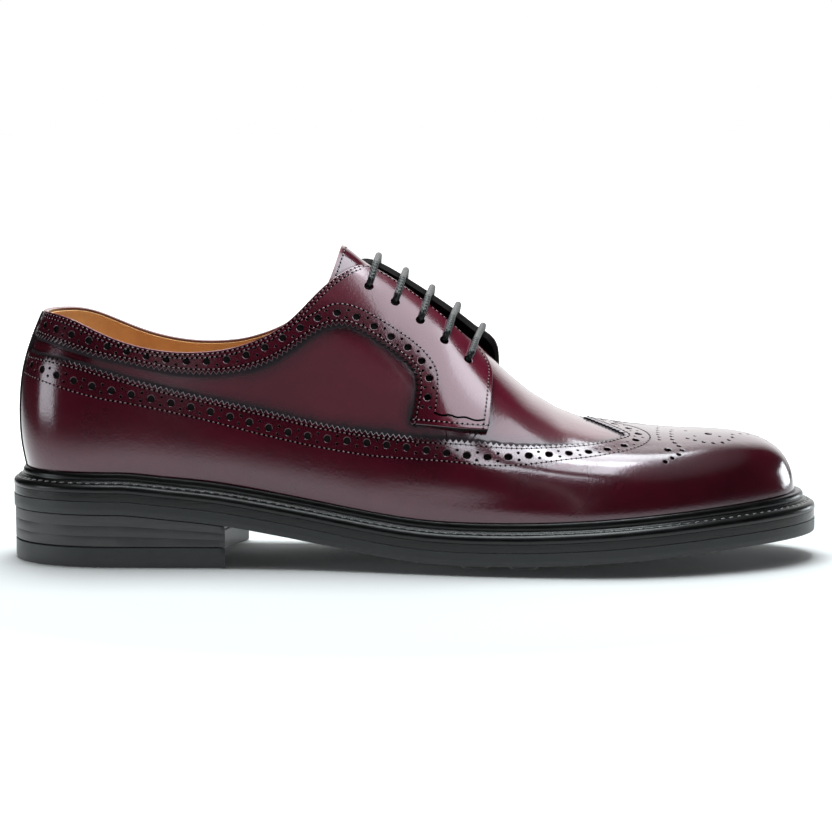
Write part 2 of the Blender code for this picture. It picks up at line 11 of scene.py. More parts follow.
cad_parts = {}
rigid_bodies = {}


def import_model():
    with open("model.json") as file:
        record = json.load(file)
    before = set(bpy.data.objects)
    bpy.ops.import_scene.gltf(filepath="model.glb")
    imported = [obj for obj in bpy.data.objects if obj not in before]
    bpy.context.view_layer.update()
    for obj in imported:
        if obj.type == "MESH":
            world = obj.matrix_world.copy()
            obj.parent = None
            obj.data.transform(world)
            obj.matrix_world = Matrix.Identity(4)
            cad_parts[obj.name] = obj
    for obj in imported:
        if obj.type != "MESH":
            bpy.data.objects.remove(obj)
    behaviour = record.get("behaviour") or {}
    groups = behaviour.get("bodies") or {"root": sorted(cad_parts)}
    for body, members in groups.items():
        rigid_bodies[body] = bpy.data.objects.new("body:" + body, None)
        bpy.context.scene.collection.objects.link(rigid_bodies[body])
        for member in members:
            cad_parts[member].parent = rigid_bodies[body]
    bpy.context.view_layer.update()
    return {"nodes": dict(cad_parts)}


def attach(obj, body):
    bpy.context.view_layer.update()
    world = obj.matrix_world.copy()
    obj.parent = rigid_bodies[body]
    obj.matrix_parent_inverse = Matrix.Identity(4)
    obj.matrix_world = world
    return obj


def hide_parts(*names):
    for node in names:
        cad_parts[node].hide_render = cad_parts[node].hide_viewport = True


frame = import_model()

MM = 0.001
SIDES = ("outer", "inner")
SIGN = {"outer": -1.0, "inner": 1.0}

# Sizes of the last and the sole
SOLE_LENGTH = 308.0
UPPER_TOE = 300.0
HEEL_CENTRE = 45.0
HEEL_TURN = 58.0
BACK_SEAM = HEEL_CENTRE - HEEL_TURN
TOE_PLAN_START = 225.0
TOE_PROFILE_START = 250.0
OUTSOLE_THICKNESS = 5.0
MIDSOLE_THICKNESS = 2.7
MIDSOLE_SET_BACK = 0.5
HEEL_SET_BACK = 0.4
TOP_LIFT_HEIGHT = 7.7
HEEL_BREAST_X = 86.0
HEEL_BREAST_HOLLOW = 7.0
GAP = 0.3
TREAD_CROWN = 1.8
STUD_RADIUS = 6.0
STUD_HEIGHT = 2.0
STUD_CLEAR = 0.6
STUD_ROOT = 1.5
SOLE_END_POWERS = (2.3, 2.1)
TOE_PROFILE_POWERS = (4.0, 3.0)
HEEL_PLAN_POWER = 2.3

# How far each leather face stands off the last
SKIN_LIFT = -0.5
SKIN_BACK = -1.3
LINING_LIFT = -1.55
LINING_BACK = -2.2
LINING_SHORT = 0.9
PANEL_LIFT = 0.5
PANEL_FOOT = -0.7
PANEL_THICKNESS = 2.6
EDGE_ROUND = 0.45
EDGE_DROP = 0.4
EDGE_LEAN = (0.7, 0.72)
HOLE_DROP = 0.2
WING_CREASE_SHARE = 0.5
TAB_STEP = 1.1
HEM_STEP = 0.9
INNER_RIDE = 3.4
INNER_RIDE_FRONT = 1.4

# Where the facing's lifts begin, and the run over which each comes in
TAB_LIFT = (148, 22)
HEM_LIFT = (30, 30)
RIDE_BACK = (116, 16)
RIDE_FRONT = (189, -8)
RIDE_SIDE = (40, -28)
RIDE_RISE = (150, 30)

# Throat, facing and tongue
THROAT_TOP = 137.0
THROAT_TOP_GAP = 8.3
THROAT_FRONT = 175.0
THROAT_FRONT_GAP = 12.0
THROAT_ROUND = 9.0
THROAT_START = 174.0
SKIN_THROAT_END = 180.0
SKIN_MARGIN = 0.6
FACING_FRONT = 185.0
TONGUE_HALF_WIDTH = 31.0
TONGUE_FRONT = 196.0
TONGUE_TOP_MIDDLE = 127.5
TONGUE_TOP_SIDE = 120.5
TONGUE_RAISE = 3.0
TONGUE_DEPTH = 2.7
TONGUE_THICKNESS = 1.6
TONGUE_FREE = (140, -14)
TONGUE_CLEAR = 3.0
TONGUE_SEAM_INSET = 1.6
TONGUE_BURNISH = 0.45
TONGUE_BACK_BURNISH = 0.2
TONGUE_RIM_HIGHLIGHT = 0.55
LACE_RADIUS = 1.3
LACE_BOW = 1.3
LACE_BED = 0.8
LACE_DIVE = (0.88, 0.12)
LACE_DIVE_DEPTH = 3.4
EYELET_RADIUS = 1.6

# Punching, gimping and sewing
BIG_HOLE = 1.35
SMALL_HOLE = 0.55
HOLE_PITCH = 7.6
PAIR_SPREAD = 1.5
HOLE_SHOULDER = 0.22
GIMP_PITCH = 2.15
GIMP_DEPTH = 1.35
# Darkening above COVERED marks leather hidden under the panels, painted near-black as the shade seen down
# their holes
COVERED = 1.3
BACK_BURNISH = 0.3
BACK_PALENESS = 0.4
RIM_BURNISH = 0.8
HOLE_LINE_SHIFT = 0.4
STITCH_PITCH = 1.88
STITCH_SIZE = (1.0, 0.55, 0.32)
NEEDLE_HOLE = (0.85, 1.0, 0.3)
SEAM_PITCH = 0.5
JOIN_MARK = (0.7, 0.38, 0.2)
WELT_STITCH_PITCH = 3.6
WELT_STITCH_SIZE = (2.2, 0.85, 0.7)
WELT_STITCH_SLANT = 0.28
WING_SEAM_INSET = 1.5
FACING_SEAM_INSETS = {"gimped": 1.4, "collar": 2.3, "rim": 1.0, "nose": 1.9, "hem": 1.7}

# Triangles of a panel: shares of the grid's spacing and of a hole's radius
PANEL_SPACING = 1.8
GRID_ROW = 0.87
GRID_CLEAR = 0.55
HOLE_CLEAR = 1.1
HOLE_CLEAR_MORE = 0.35
HOLE_NEAR = 2.2
HOLE_RIM = 1.25
HOLE_RIM_MORE = 0.15
FAR = 9.0
TINY = 1e-9

SOLE_PLAN = (
    ("x", "axis", "outer", "inner"),
    (45, 0.0, 37.0, 37.0),
    (80, 0.0, 36.5, 35.5),
    (110, 0.0, 38.0, 33.0),
    (140, 0.3, 43.5, 35.5),
    (170, 1.0, 50.5, 42.0),
    (200, 1.8, 55.0, 48.5),
    (225, 2.8, 56.5, 50.0),
    (250, 4.0, 55.0, 48.5),
    (275, 5.0, 51.5, 45.5),
    (308, 6.0, 46.0, 42.0),
)
SOLE_PROFILE = (
    ("x", "bottom", "crown"),
    (45, 20.0, 0.0),
    (60, 18.8, 0.0),
    (80, 16.7, 0.0),
    (101, 13.4, 0.0),
    (115, 11.0, 0.1),
    (130, 8.4, 0.4),
    (146, 5.9, 0.8),
    (161, 4.3, 1.0),
    (180, 3.7, 1.0),
    (200, 3.9, 1.0),
    (224, 5.0, 1.0),
    (248, 6.6, 0.9),
    (273, 8.4, 0.5),
    (308, 10.2, 0.0),
)
LAST_PLAN = (
    ("x", "outer", "inner", "tuck", "belly", "side_pull", "top_pull"),
    (45, 32.0, 32.0, 3.0, 20.0, 0.38, 0.50),
    (80, 31.0, 30.5, 3.5, 18.0, 0.36, 0.50),
    (110, 33.0, 30.0, 4.0, 16.0, 0.40, 0.50),
    (140, 38.5, 33.0, 3.5, 14.0, 0.44, 0.52),
    (170, 45.0, 38.5, 3.0, 12.0, 0.46, 0.52),
    (200, 49.0, 43.5, 2.5, 10.0, 0.50, 0.55),
    (225, 50.5, 44.5, 2.0, 9.0, 0.55, 0.60),
    (250, 49.0, 43.0, 1.8, 9.0, 0.58, 0.62),
    (275, 45.5, 40.0, 1.6, 9.0, 0.58, 0.62),
    (300, 40.0, 36.5, 1.5, 9.0, 0.58, 0.62),
)
LAST_CREST = (
    ("x", "z", "inward"),
    (45, 150.0, 0.0),
    (80, 140.0, 0.3),
    (100, 130.0, 0.8),
    (120, 122.0, 1.4),
    (131, 117.8, 1.5),
    (143, 112.0, 1.5),
    (154, 105.0, 1.5),
    (164, 97.0, 1.5),
    (173, 88.6, 1.5),
    (182, 79.2, 1.5),
    (192, 69.5, 1.4),
    (201, 62.5, 1.3),
    (210, 57.2, 1.1),
    (220, 53.2, 0.9),
    (234, 50.4, 0.6),
    (249, 48.8, 0.3),
    (265, 48.3, 0.1),
    (300, 48.3, 0.0),
)
HEEL_BACK = (
    ("z", "x"),
    (28, 7.8),
    (38, 5.4),
    (46, 4.1),
    (55, 3.7),
    (65, 4.2),
    (74, 5.6),
    (83, 8.4),
    (90, 11.2),
    (97, 14.4),
    (150, 36.0),
)
TOPLINE = (
    ("along", "z"),
    (-13, 95.0),
    (6, 94.8),
    (24, 93.0),
    (36, 88.9),
    (48, 84.4),
    (58, 81.9),
    (68, 80.7),
    (77, 80.7),
    (85, 81.5),
    (94, 83.8),
    (102, 87.1),
    (110, 92.4),
    (116, 98.3),
    (122, 104.4),
    (129, 109.6),
    (134, 112.0),
    (138, 116.0),
)
EYELETS = (
    ("x", "from_crest"),
    (139.0, 19.9),
    (149.0, 21.3),
    (158.3, 23.2),
    (167.2, 25.0),
    (176.0, 25.0),
)
STUDS = (
    ("x", "count", "half_spread"),
    (162, 3, 24.0),
    (180, 4, 34.0),
    (198, 5, 38.0),
    (216, 4, 34.0),
    (234, 3, 28.0),
)

# Pattern lines on the outer side: along the last, and up its face from the feather edge
WING_TOP = (
    ("along", "up"),
    (-13, 52.5),
    (8, 51.2),
    (35, 47.0),
    (52, 42.4),
    (69, 39.9),
    (85, 38.3),
    (102, 37.6),
    (132, 36.9),
    (160, 37.8),
    (186, 37.4),
    (199, 37.5),
    (215, 40.4),
    (227, 44.6),
    (236.7, 51.5),
)
WING_HOLES = (
    ("along", "up"),
    (-10, 48.2),
    (14, 46.1),
    (54.4, 36.8),
    (91.3, 32.9),
    (129.6, 32.4),
    (168.4, 33.2),
    (206.7, 33.6),
    (228.5, 38.0),
    (235.5, 41.4),
    (239.6, 46.4),
    (240.8, 51.9),
    (238.2, 58.8),
    (232.9, 66.1),
)
WING_LOWER_SEAM = (
    ("along", "up"),
    (-12, 44.6),
    (10, 42.7),
    (51.8, 33.6),
    (102.3, 28.8),
    (139.1, 28.7),
    (179.2, 29.2),
    (215.2, 31.4),
    (236.5, 37.4),
    (242.8, 42.6),
    (244.9, 50.2),
    (242.5, 58.5),
    (236.8, 67.0),
)
# The ridge where the top of the forefoot turns down into the wall, and its two slopes
WING_SHOULDER = (
    ("along", "up", "rise"),
    (140, 26.0, 0.0),
    (165, 26.5, 0.6),
    (185, 26.8, 1.1),
    (205, 27.4, 1.3),
    (228, 27.8, 1.3),
    (245, 28.0, 0.9),
    (262, 28.0, 0.4),
    (276, 28.0, 0.0),
)
SHOULDER_FALL = 13.0
SHOULDER_REACH = 14.0
WING_PEAK = 220.3
WING_CORNER_ROUND = 3.0
WING_PEAK_BOW = 0.6
WING_HOLE_PEAK = 227.1
WING_SEAM_PEAK = 231.2
FACING_GIMP = (
    ("along", "up"),
    (-13, 60.0),
    (8.9, 58.3),
    (25.4, 55.2),
    (43.5, 50.3),
    (60, 48.0),
    (76.9, 48.0),
    (93.4, 52.2),
    (106.2, 59.6),
    (118.1, 70.2),
    (127, 75.8),
    (133.5, 76.4),
    (142.8, 73.2),
    (152.1, 68.1),
    (157.2, 63.6),
    (158.5, 58.6),
    (158.1, 52.1),
    (156.4, 42.6),
)
FACING_HOLES = (
    ("along", "up"),
    (-10, 63.6),
    (10.3, 62.2),
    (35.1, 56.6),
    (55.9, 51.9),
    (77.6, 52.1),
    (92.2, 56.3),
    (106, 65.0),
    (119.1, 75.3),
    (125.8, 79.5),
    (133.3, 80.3),
    (146.3, 75.5),
    (158.3, 68.2),
    (161.8, 62.5),
    (162.2, 55.8),
    (161.5, 49.4),
)
FACING_FAR_SEAM = (
    ("along", "up"),
    (112, 73.0),
    (120.1, 79.2),
    (126, 83.4),
    (132.8, 84.5),
    (141.5, 82.2),
    (151.8, 77.5),
    (159.6, 72.1),
    (164.5, 65.5),
    (165.7, 58.3),
    (165.2, 47.4),
)
FACING_FRONT_EDGE = (
    ("along", "up"),
    (156.4, 42.6),
    (170.9, 42.3),
    (184.6, 42.2),
    (185.2, 55.0),
    (185.2, 66.0),
    (183.8, 76.0),
    (179.6, 84.0),
)
HEM_ROWS = 3
TAB_SEAM = (
    ("along", "up"),
    (165.2, 47.4),
    (168.0, 46.6),
    (170.5, 46.9),
    (173.0, 46.2),
    (176.0, 46.4),
    (179.0, 45.6),
    (182.6, 45.9),
)
VAMP_SEAM = (
    ("along", "up"),
    (169.4, 41.6),
    (169.6, 39.7),
    (169.8, 37.6),
)
# The medallion on the toe: along the crest, and out from it
MEDALLION = (
    ("along", "from_crest", "radius"),
    (267.0, 11.2, 1.35),
    (251.4, 31.2, 1.35),
    (248.2, 3.0, 0.65),
    (248.0, 6.2, 0.65),
    (247.9, 9.5, 0.65),
    (247.9, 12.8, 0.65),
    (247.9, 16.1, 0.65),
    (248.3, 19.3, 0.65),
    (248.4, 22.2, 0.65),
    (253.4, 7.0, 0.7),
    (253.0, 10.5, 0.7),
    (253.0, 14.0, 0.75),
    (253.0, 17.5, 0.75),
    (253.2, 20.9, 0.8),
    (254.1, 24.2, 0.85),
    (255.6, 27.0, 0.9),
    (256.7, 30.5, 0.95),
    (255.4, 33.9, 0.95),
    (252.9, 36.8, 0.9),
    (250.3, 39.5, 0.95),
    (259.0, 18.8, 0.75),
    (261.8, 20.4, 0.75),
    (265.0, 21.6, 0.8),
    (268.6, 21.6, 0.8),
    (272.2, 20.0, 0.8),
    (274.6, 16.5, 0.75),
    (276.1, 12.8, 0.75),
    (276.3, 8.8, 0.7),
    (261.9, 15.4, 0.65),
    (271.3, 13.8, 0.65),
    (258.6, 7.5, 0.65),
    (279.3, 5.4, 0.7),
    (282.2, 2.6, 0.7),
    (285.8, 0.0, 0.75),
    (289.6, 0.0, 0.65),
)
# Soft walking creases over the vamp: troughs have a positive depth
CREASES = (
    ("along", "from_crest", "slant", "half_length", "width", "depth"),
    (199.0, -4.0, 0.10, 26.0, 3.4, 0.16),
    (205.5, -10.0, -0.12, 24.0, 3.0, -0.10),
    (210.5, -6.0, -0.10, 30.0, 3.8, 0.18),
    (203.0, 18.0, 0.15, 22.0, 3.6, 0.14),
    (212.0, 22.0, 0.10, 20.0, 4.2, 0.12),
)


# The shape of the last
def smooth_curve(xs, ys, first_slope=None, last_slope=None):
    """A cubic spline through the given points, with the slope at an end where one is given."""
    xs = np.asarray(xs, float)
    ys = np.asarray(ys, float)
    count = len(xs)
    step = np.diff(xs)
    rise = np.diff(ys, axis=0) / step.reshape((-1,) + (1,) * (ys.ndim - 1))
    system_rows = np.zeros((count, count))
    right = np.zeros(ys.shape)
    system_rows[0, 0] = 1.0
    system_rows[-1, -1] = 1.0
    for i in range(1, count - 1):
        system_rows[i, i - 1 : i + 2] = step[i - 1], 2 * (step[i - 1] + step[i]), step[i]
        right[i] = 6 * (rise[i] - rise[i - 1])
    if first_slope is not None:
        system_rows[0, :2] = 2 * step[0], step[0]
        right[0] = 6 * (rise[0] - np.asarray(first_slope))
    if last_slope is not None:
        system_rows[-1, -2:] = step[-1], 2 * step[-1]
        right[-1] = 6 * (np.asarray(last_slope) - rise[-1])
    bend = np.linalg.solve(system_rows, right)

    def at(x):
        x = np.clip(np.asarray(x, float), xs[0], xs[-1])
        i = np.clip(np.searchsorted(xs, x) - 1, 0, count - 2)
        width = step[i]
        before = (x - xs[i]) / width
        after = 1 - before
        shape = before.shape + (1,) * (ys.ndim - 1)
        width, before, after = (v.reshape(shape) for v in (width, before, after))
        straight = after * ys[i] + before * ys[i + 1]
        curl = (after**3 - after) * bend[i] + (before**3 - before) * bend[i + 1]
        return straight + curl * width**2 / 6

    return at


def column(table, name, first_slope=None):
    """One named column of a table as a smooth curve of the table's first column."""
    rows = np.array(table[1:], float)
    return smooth_curve(rows[:, 0], rows[:, table[0].index(name)], first_slope)


def ramp(value):
    """0 to 1 with level ends."""
    value = np.clip(value, 0, 1)
    return value * value * (3 - 2 * value)


def coming_in(value, start, run):
    """0 up to the start and 1 past the run. A negative run goes the other way."""
    return ramp((value - start) / run)


def unit(vectors, guard=0.0):
    """Vectors made one long."""
    return vectors / (np.linalg.norm(vectors, axis=-1, keepdims=True) + guard)


AXIS = column(SOLE_PLAN, "axis", 0.0)
SOLE_HALF = {side: column(SOLE_PLAN, side, 0.0) for side in SIDES}
SOLE_BOTTOM = column(SOLE_PROFILE, "bottom", 0.0)
SOLE_CROWN = column(SOLE_PROFILE, "crown")
LAST_HALF = {side: column(LAST_PLAN, side, 0.0) for side in SIDES}
TUCK = column(LAST_PLAN, "tuck", 0.0)
BELLY = column(LAST_PLAN, "belly", 0.0)
SIDE_PULL = column(LAST_PLAN, "side_pull", 0.0)
TOP_PULL = column(LAST_PLAN, "top_pull", 0.0)
CREST_Z = column(LAST_CREST, "z", 0.0)
CREST_INWARD = column(LAST_CREST, "inward", 0.0)
BACK_X = column(HEEL_BACK, "x")
TOP_Z = column(TOPLINE, "z", 0.0)


def end_round(x, start, end, powers):
    """Share of the full width or height left between the start of a rounded end and its tip."""
    along = np.clip((x - start) / (end - start), 0, 1)
    return (1 - along ** powers[0]) ** (1 / powers[1])


def bed_z(x):
    """Height of the face that the upper stands on."""
    return SOLE_BOTTOM(x) + OUTSOLE_THICKNESS + MIDSOLE_THICKNESS + 2 * GAP


def half_section(x, side):
    """Half of the last's section as a smooth curve: out from the crest, and up from the bed."""
    plan = end_round(x, TOE_PLAN_START, UPPER_TOE, SOLE_END_POWERS)
    profile = end_round(x, TOE_PROFILE_START, UPPER_TOE, TOE_PROFILE_POWERS)
    half = LAST_HALF[side](x) * plan - SIGN[side] * CREST_INWARD(x)
    height = (CREST_Z(x) - bed_z(x)) * profile
    belly = BELLY(x) * profile
    tuck = TUCK(x) * plan
    knots = []
    for angle in np.radians((60, 30)):
        share = (1 - np.cos(angle)) / (1 - np.cos(np.radians(60)))
        low = 1 - np.sin(angle) / np.sin(np.radians(60))
        knots.append((half - tuck * share, belly * low))
    handle = belly + SIDE_PULL(x) * (height - belly)
    for q in np.linspace(0, 1, 6):
        weights = (1 - q) ** 3, 3 * q * (1 - q) ** 2, 3 * q * q * (1 - q), q**3
        out = np.dot(weights, (half, half, TOP_PULL(x) * half, 0.0))
        knots.append((out, np.dot(weights, (belly, handle, height, height))))
    knots = np.array(knots)
    length = arc_lengths(knots)
    return smooth_curve(length / length[-1], knots, last_slope=(-length[-1], 0))


def arc_lengths(points):
    """Length along a line at each of its points."""
    steps = np.linalg.norm(np.diff(points, axis=0), axis=1)
    return np.concatenate(([0.0], np.cumsum(steps)))


def rib(side, along, ts):
    """Points of the last's face on one rib. ts run from 0 at the feather edge to 1 at the crest.
    Forward of the heel centre along is x, and behind it the rib turns round the heel."""
    x = max(along, HEEL_CENTRE)
    section = half_section(x, side)(ts)
    middle = AXIS(x)
    y = middle + CREST_INWARD(x) + SIGN[side] * section[:, 0]
    z = bed_z(x) + section[:, 1]
    if along >= HEEL_CENTRE:
        return np.column_stack((np.full(len(ts), x), y, z))
    turn = np.pi / 2 * min((HEEL_CENTRE - along) / HEEL_TURN, 1.0)
    power = HEEL_PLAN_POWER
    reach = (np.cos(turn) ** power + np.sin(turn) ** power) ** (-1 / power)
    back = HEEL_CENTRE - BACK_X(z)
    y = middle + (y - middle) * np.cos(turn) * reach
    return np.column_stack((HEEL_CENTRE - back * np.sin(turn) * reach, y, z))


# The flat pattern: a runs along the last and c across it from the crest, outer side negative
NET_TS = np.linspace(0, 1, 141)
TOE_REACH = UPPER_TOE - TOE_PLAN_START
NET_ALONG = np.concatenate((
    np.linspace(BACK_SEAM, HEEL_CENTRE, 101)[:-1],
    np.linspace(HEEL_CENTRE, TOE_PLAN_START, 301)[:-1],
    TOE_PLAN_START + TOE_REACH * np.sin(np.linspace(0, np.pi / 2, 141)[:-1]),
))


def last_net(side):
    """The last's face on one side as a fine net of points, with its normals and girths."""
    points = []
    for along in NET_ALONG:
        trial = arc_lengths(rib(side, along, NET_TS))
        points.append(rib(side, along, np.interp(NET_TS * trial[-1], trial, NET_TS)))
    points = np.array(points)
    normal = np.cross(np.gradient(points, axis=0), np.gradient(points, axis=1)) * -SIGN[side]
    normal[0, :, 1] = 0.0
    normal[:, -1, 1] = 0.0
    normal = unit(normal)
    girth = np.linalg.norm(np.diff(points, axis=1), axis=2).sum(axis=1)
    return points, normal, girth


NETS = {side: last_net(side) for side in SIDES}
CREST_LENGTH = arc_lengths(NETS["outer"][0][:, -1])
TOE_ROW = int(np.searchsorted(NET_ALONG, TOE_PLAN_START))
NET_A = np.where(
    NET_ALONG < TOE_PLAN_START,
    NET_ALONG,
    TOE_PLAN_START + CREST_LENGTH - CREST_LENGTH[TOE_ROW],
)


def girth_at(side, a):
    return np.interp(a, NET_A, NETS[side][2])


def on_pattern(side, along, up):
    """Pattern places from the place along the last and up the outer side's face.
    The inner side takes the same share of its own girth."""
    a = np.interp(along, NET_ALONG, NET_A)
    share = np.asarray(up, float) / girth_at("outer", a)
    return np.column_stack((a, SIGN[side] * (1 - share) * girth_at(side, a)))


def lay(pattern, lift=0.0):
    """Points on the last at pattern places, lifted off its face, and the normals there."""
    pattern = np.asarray(pattern, float)
    row = np.interp(pattern[:, 0], NET_A, np.arange(len(NET_A)))
    low = np.minimum(row.astype(int), len(NET_A) - 2)
    part = row - low
    laid = np.zeros((2, len(pattern), 3))
    outer = pattern[:, 1] < 0
    for side, mine in (("outer", outer), ("inner", ~outer)):
        net, net_normal, girth = NETS[side]
        i = low[mine]
        f = part[mine][:, None]
        reach = girth[i] * (1 - f[:, 0]) + girth[i + 1] * f[:, 0]
        place = np.clip(1 - np.abs(pattern[mine, 1]) / reach, 0, 1) * (len(NET_TS) - 1)
        j = np.minimum(place.astype(int), len(NET_TS) - 2)
        g = (place - j)[:, None]
        for k, source in enumerate((net, net_normal)):
            here = source[i, j] * (1 - g) + source[i, j + 1] * g
            ahead = source[i + 1, j] * (1 - g) + source[i + 1, j + 1] * g
            laid[k, mine] = here * (1 - f) + ahead * f
    points, normal = laid
    normal = unit(normal)
    return points + normal * np.broadcast_to(lift, len(pattern))[:, None], normal


def pattern_pull(pattern, step=0.3):
    """How a point on the last moves per step of a and of c, with the terms that undo it."""
    by_a = (lay(pattern + (step, 0))[0] - lay(pattern - (step, 0))[0]) / (2 * step)
    by_c = (lay(pattern + (0, step))[0] - lay(pattern - (0, step))[0]) / (2 * step)
    aa = np.sum(by_a * by_a, axis=1)
    ac = np.sum(by_a * by_c, axis=1)
    cc = np.sum(by_c * by_c, axis=1)
    return by_a, by_c, aa, ac, cc, np.maximum(aa * cc - ac * ac, TINY)


def moved(pattern, moves):
    """Pattern places moved by steps given in space, in the face of the last."""
    by_a, by_c, aa, ac, cc, spread = pattern_pull(pattern)
    to_a = np.sum(moves * by_a, axis=1)
    to_c = np.sum(moves * by_c, axis=1)
    steps = (to_a * cc - to_c * ac) / spread, (to_c * aa - to_a * ac) / spread
    return pattern + np.column_stack(steps)


def raised(pattern, lift, step=0.2):
    """Points and normals of a face that stands off the last by a lift function."""
    points, normal = lay(pattern, lift(pattern))
    by_a, by_c, aa, ac, cc, spread = pattern_pull(pattern)
    up_a = (lift(pattern + (step, 0)) - lift(pattern - (step, 0))) / (2 * step)
    up_c = (lift(pattern + (0, step)) - lift(pattern - (0, step))) / (2 * step)
    slope = by_a * ((cc * up_a - ac * up_c) / spread)[:, None]
    slope = slope + by_c * ((aa * up_c - ac * up_a) / spread)[:, None]
    return points, unit(normal - slope)


def flowing(rows, count=500):
    """A smooth line through pattern rows."""
    rows = np.asarray(rows, float)
    length = arc_lengths(rows)
    return smooth_curve(length, rows)(np.linspace(0, length[-1], count))


def placed(table, side):
    """A table's places on one side of the last, as pattern rows."""
    along, up = np.array(table[1:], float).T
    return on_pattern(side, along, up)


def line_of(table, side):
    """A table's line on one side of the last, from the heel forward."""
    return flowing(placed(table, side))


def paced(line, pitch):
    """A line at equal steps of about one pitch."""
    length = arc_lengths(lay(line)[0])
    steps = np.linspace(0, length[-1], max(int(round(length[-1] / pitch)), 1) + 1)
    return np.column_stack([np.interp(steps, length, line[:, k]) for k in (0, 1)])


def beside(line, distance):
    """A line moved sideways in the face, to the left of its run as seen from outside."""
    points, normal = lay(line)
    run = unit(np.gradient(points, axis=0))
    return moved(line, np.cross(normal, run) * np.broadcast_to(distance, len(line))[:, None])


def gimped(line, pitch=GIMP_PITCH, depth=GIMP_DEPTH):
    """A line cut into small teeth."""
    teeth = paced(line, pitch / 2)
    return beside(teeth, depth / 2 * np.where(np.arange(len(teeth)) % 2, -1.0, 1.0))


def clearance(pattern, line, chunk=4000):
    """Distance from pattern places to the nearest point of a line."""
    found = []
    for start in range(0, len(pattern), chunk):
        away = pattern[start : start + chunk, None, :] - line[None, :, :]
        found.append(np.sqrt(np.min(np.sum(away * away, axis=2), axis=1)))
    return np.concatenate(found)


def inside(pattern, outline, chunk=4000):
    """Which pattern places lie inside a closed outline."""
    start = outline
    end = np.roll(outline, -1, axis=0)
    rise = np.where(end[:, 1] == start[:, 1], 1e-12, end[:, 1] - start[:, 1])
    found = []
    for first in range(0, len(pattern), chunk):
        a = pattern[first : first + chunk, 0][:, None]
        c = pattern[first : first + chunk, 1][:, None]
        spans = (start[None, :, 1] > c) != (end[None, :, 1] > c)
        slant = (c - start[None, :, 1]) * (end[:, 0] - start[:, 0])[None, :]
        cross = start[None, :, 0] + slant / rise[None, :]
        found.append(np.sum(spans & (a < cross), axis=1) % 2 == 1)
    return np.concatenate(found)


# Lifts of the leather faces
def creasing(pattern):
    """Soft troughs and ridges over the vamp."""
    total = np.zeros(len(pattern))
    for along, out, slant, half_length, width, depth in CREASES[1:]:
        away = pattern[:, 1] - out
        ahead = pattern[:, 0] - along - slant * away
        total -= depth * np.exp(-((ahead / width) ** 2)) * ramp(1 - (away / half_length) ** 2)
    return total


def even(lift):
    """The same lift everywhere."""
    return lambda pattern: np.full(len(pattern), lift)


def skin_lift(pattern):
    return SKIN_LIFT + creasing(pattern)


def shouldered(pattern):
    """The ridge along both sides of the forefoot."""
    a, c = pattern.T
    along, up, rise = np.array(WING_SHOULDER[1:], float).T
    total = np.zeros(len(pattern))
    for side in SIDES:
        line = on_pattern(side, along, up)
        shape = smooth_curve(line[:, 0], np.column_stack((np.abs(line[:, 1]), rise)))
        crest, height = shape(np.clip(a, line[0, 0], line[-1, 0])).T
        below = np.abs(c) - crest
        fall = np.where(below > 0, below / SHOULDER_FALL, -below / SHOULDER_REACH)
        total += np.maximum(height, 0) * (1 - ramp(fall)) * (SIGN[side] * c > 0)
    return total


def wing_lift(pattern):
    return PANEL_LIFT + WING_CREASE_SHARE * creasing(pattern) + shouldered(pattern)


def facing_lift(pattern):
    """The facing stands out most at the front of its hem, over the edge of the vamp.
    The inner one rides up beside the throat, on the higher side of the instep."""
    a, c = pattern.T
    tab = coming_in(a, *TAB_LIFT)
    hem = coming_in(np.abs(c), *HEM_LIFT)
    ride = coming_in(a, *RIDE_BACK) * coming_in(a, *RIDE_FRONT) * coming_in(c, *RIDE_SIDE) * (c > 0)
    ride = ride * (INNER_RIDE + INNER_RIDE_FRONT * coming_in(a, *RIDE_RISE))
    return PANEL_LIFT + tab * (TAB_STEP + HEM_STEP * hem) + ride


# Meshes
def sole_round(x):
    """Share of the sole's full width left at x, at either end."""
    toe = end_round(x, TOE_PLAN_START, SOLE_LENGTH, SOLE_END_POWERS)
    heel = end_round(HEEL_CENTRE - x, 0, HEEL_CENTRE, SOLE_END_POWERS)
    return toe * heel


# The model's middle lies halfway along the sole and across its widest places
JOINT_STATIONS = np.linspace(TOE_PLAN_START - 30, TOE_PLAN_START + 30, 61)
INNERMOST = max(AXIS(x) + SOLE_HALF["inner"](x) * sole_round(x) for x in JOINT_STATIONS)
OUTERMOST = min(AXIS(x) - SOLE_HALF["outer"](x) * sole_round(x) for x in JOINT_STATIONS)
ORIGIN = np.array((SOLE_LENGTH / 2, (INNERMOST + OUTERMOST) / 2, 0.0))


def in_model(points):
    """Table millimetres to model metres."""
    return (np.asarray(points, float) - ORIGIN) * MM


def add_piece(name, points, faces, material, slot, stands_for=(), values=None, normals=None, crisp=40):
    """A mesh piece of the shoe. values are named numbers kept on its points, normals those of
    the corners of its faces."""
    mesh = bpy.data.meshes.new(name)
    mesh.from_pydata(in_model(points).tolist(), [], [tuple(map(int, face)) for face in faces])
    mesh.polygons.foreach_set("use_smooth", np.ones(len(mesh.polygons), bool))
    for key, numbers in (values or {}).items():
        layer = mesh.attributes.new(key, "FLOAT", "POINT")
        layer.data.foreach_set("value", np.asarray(numbers, np.float32))
    mesh.materials.append(material)
    if normals is None:
        mesh.set_sharp_from_angle(angle=np.radians(crisp))
    else:
        mesh.normals_split_custom_set(np.asarray(normals).tolist())
    return register(bpy.data.objects.new(name, mesh), stands_for)


def register(piece, stands_for=()):
    """Puts a piece in the scene and on the frame."""
    if piece.name not in bpy.context.collection.objects:
        bpy.context.collection.objects.link(piece)
    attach(piece, "root")
    if stands_for:
        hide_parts(*stands_for)
    return piece


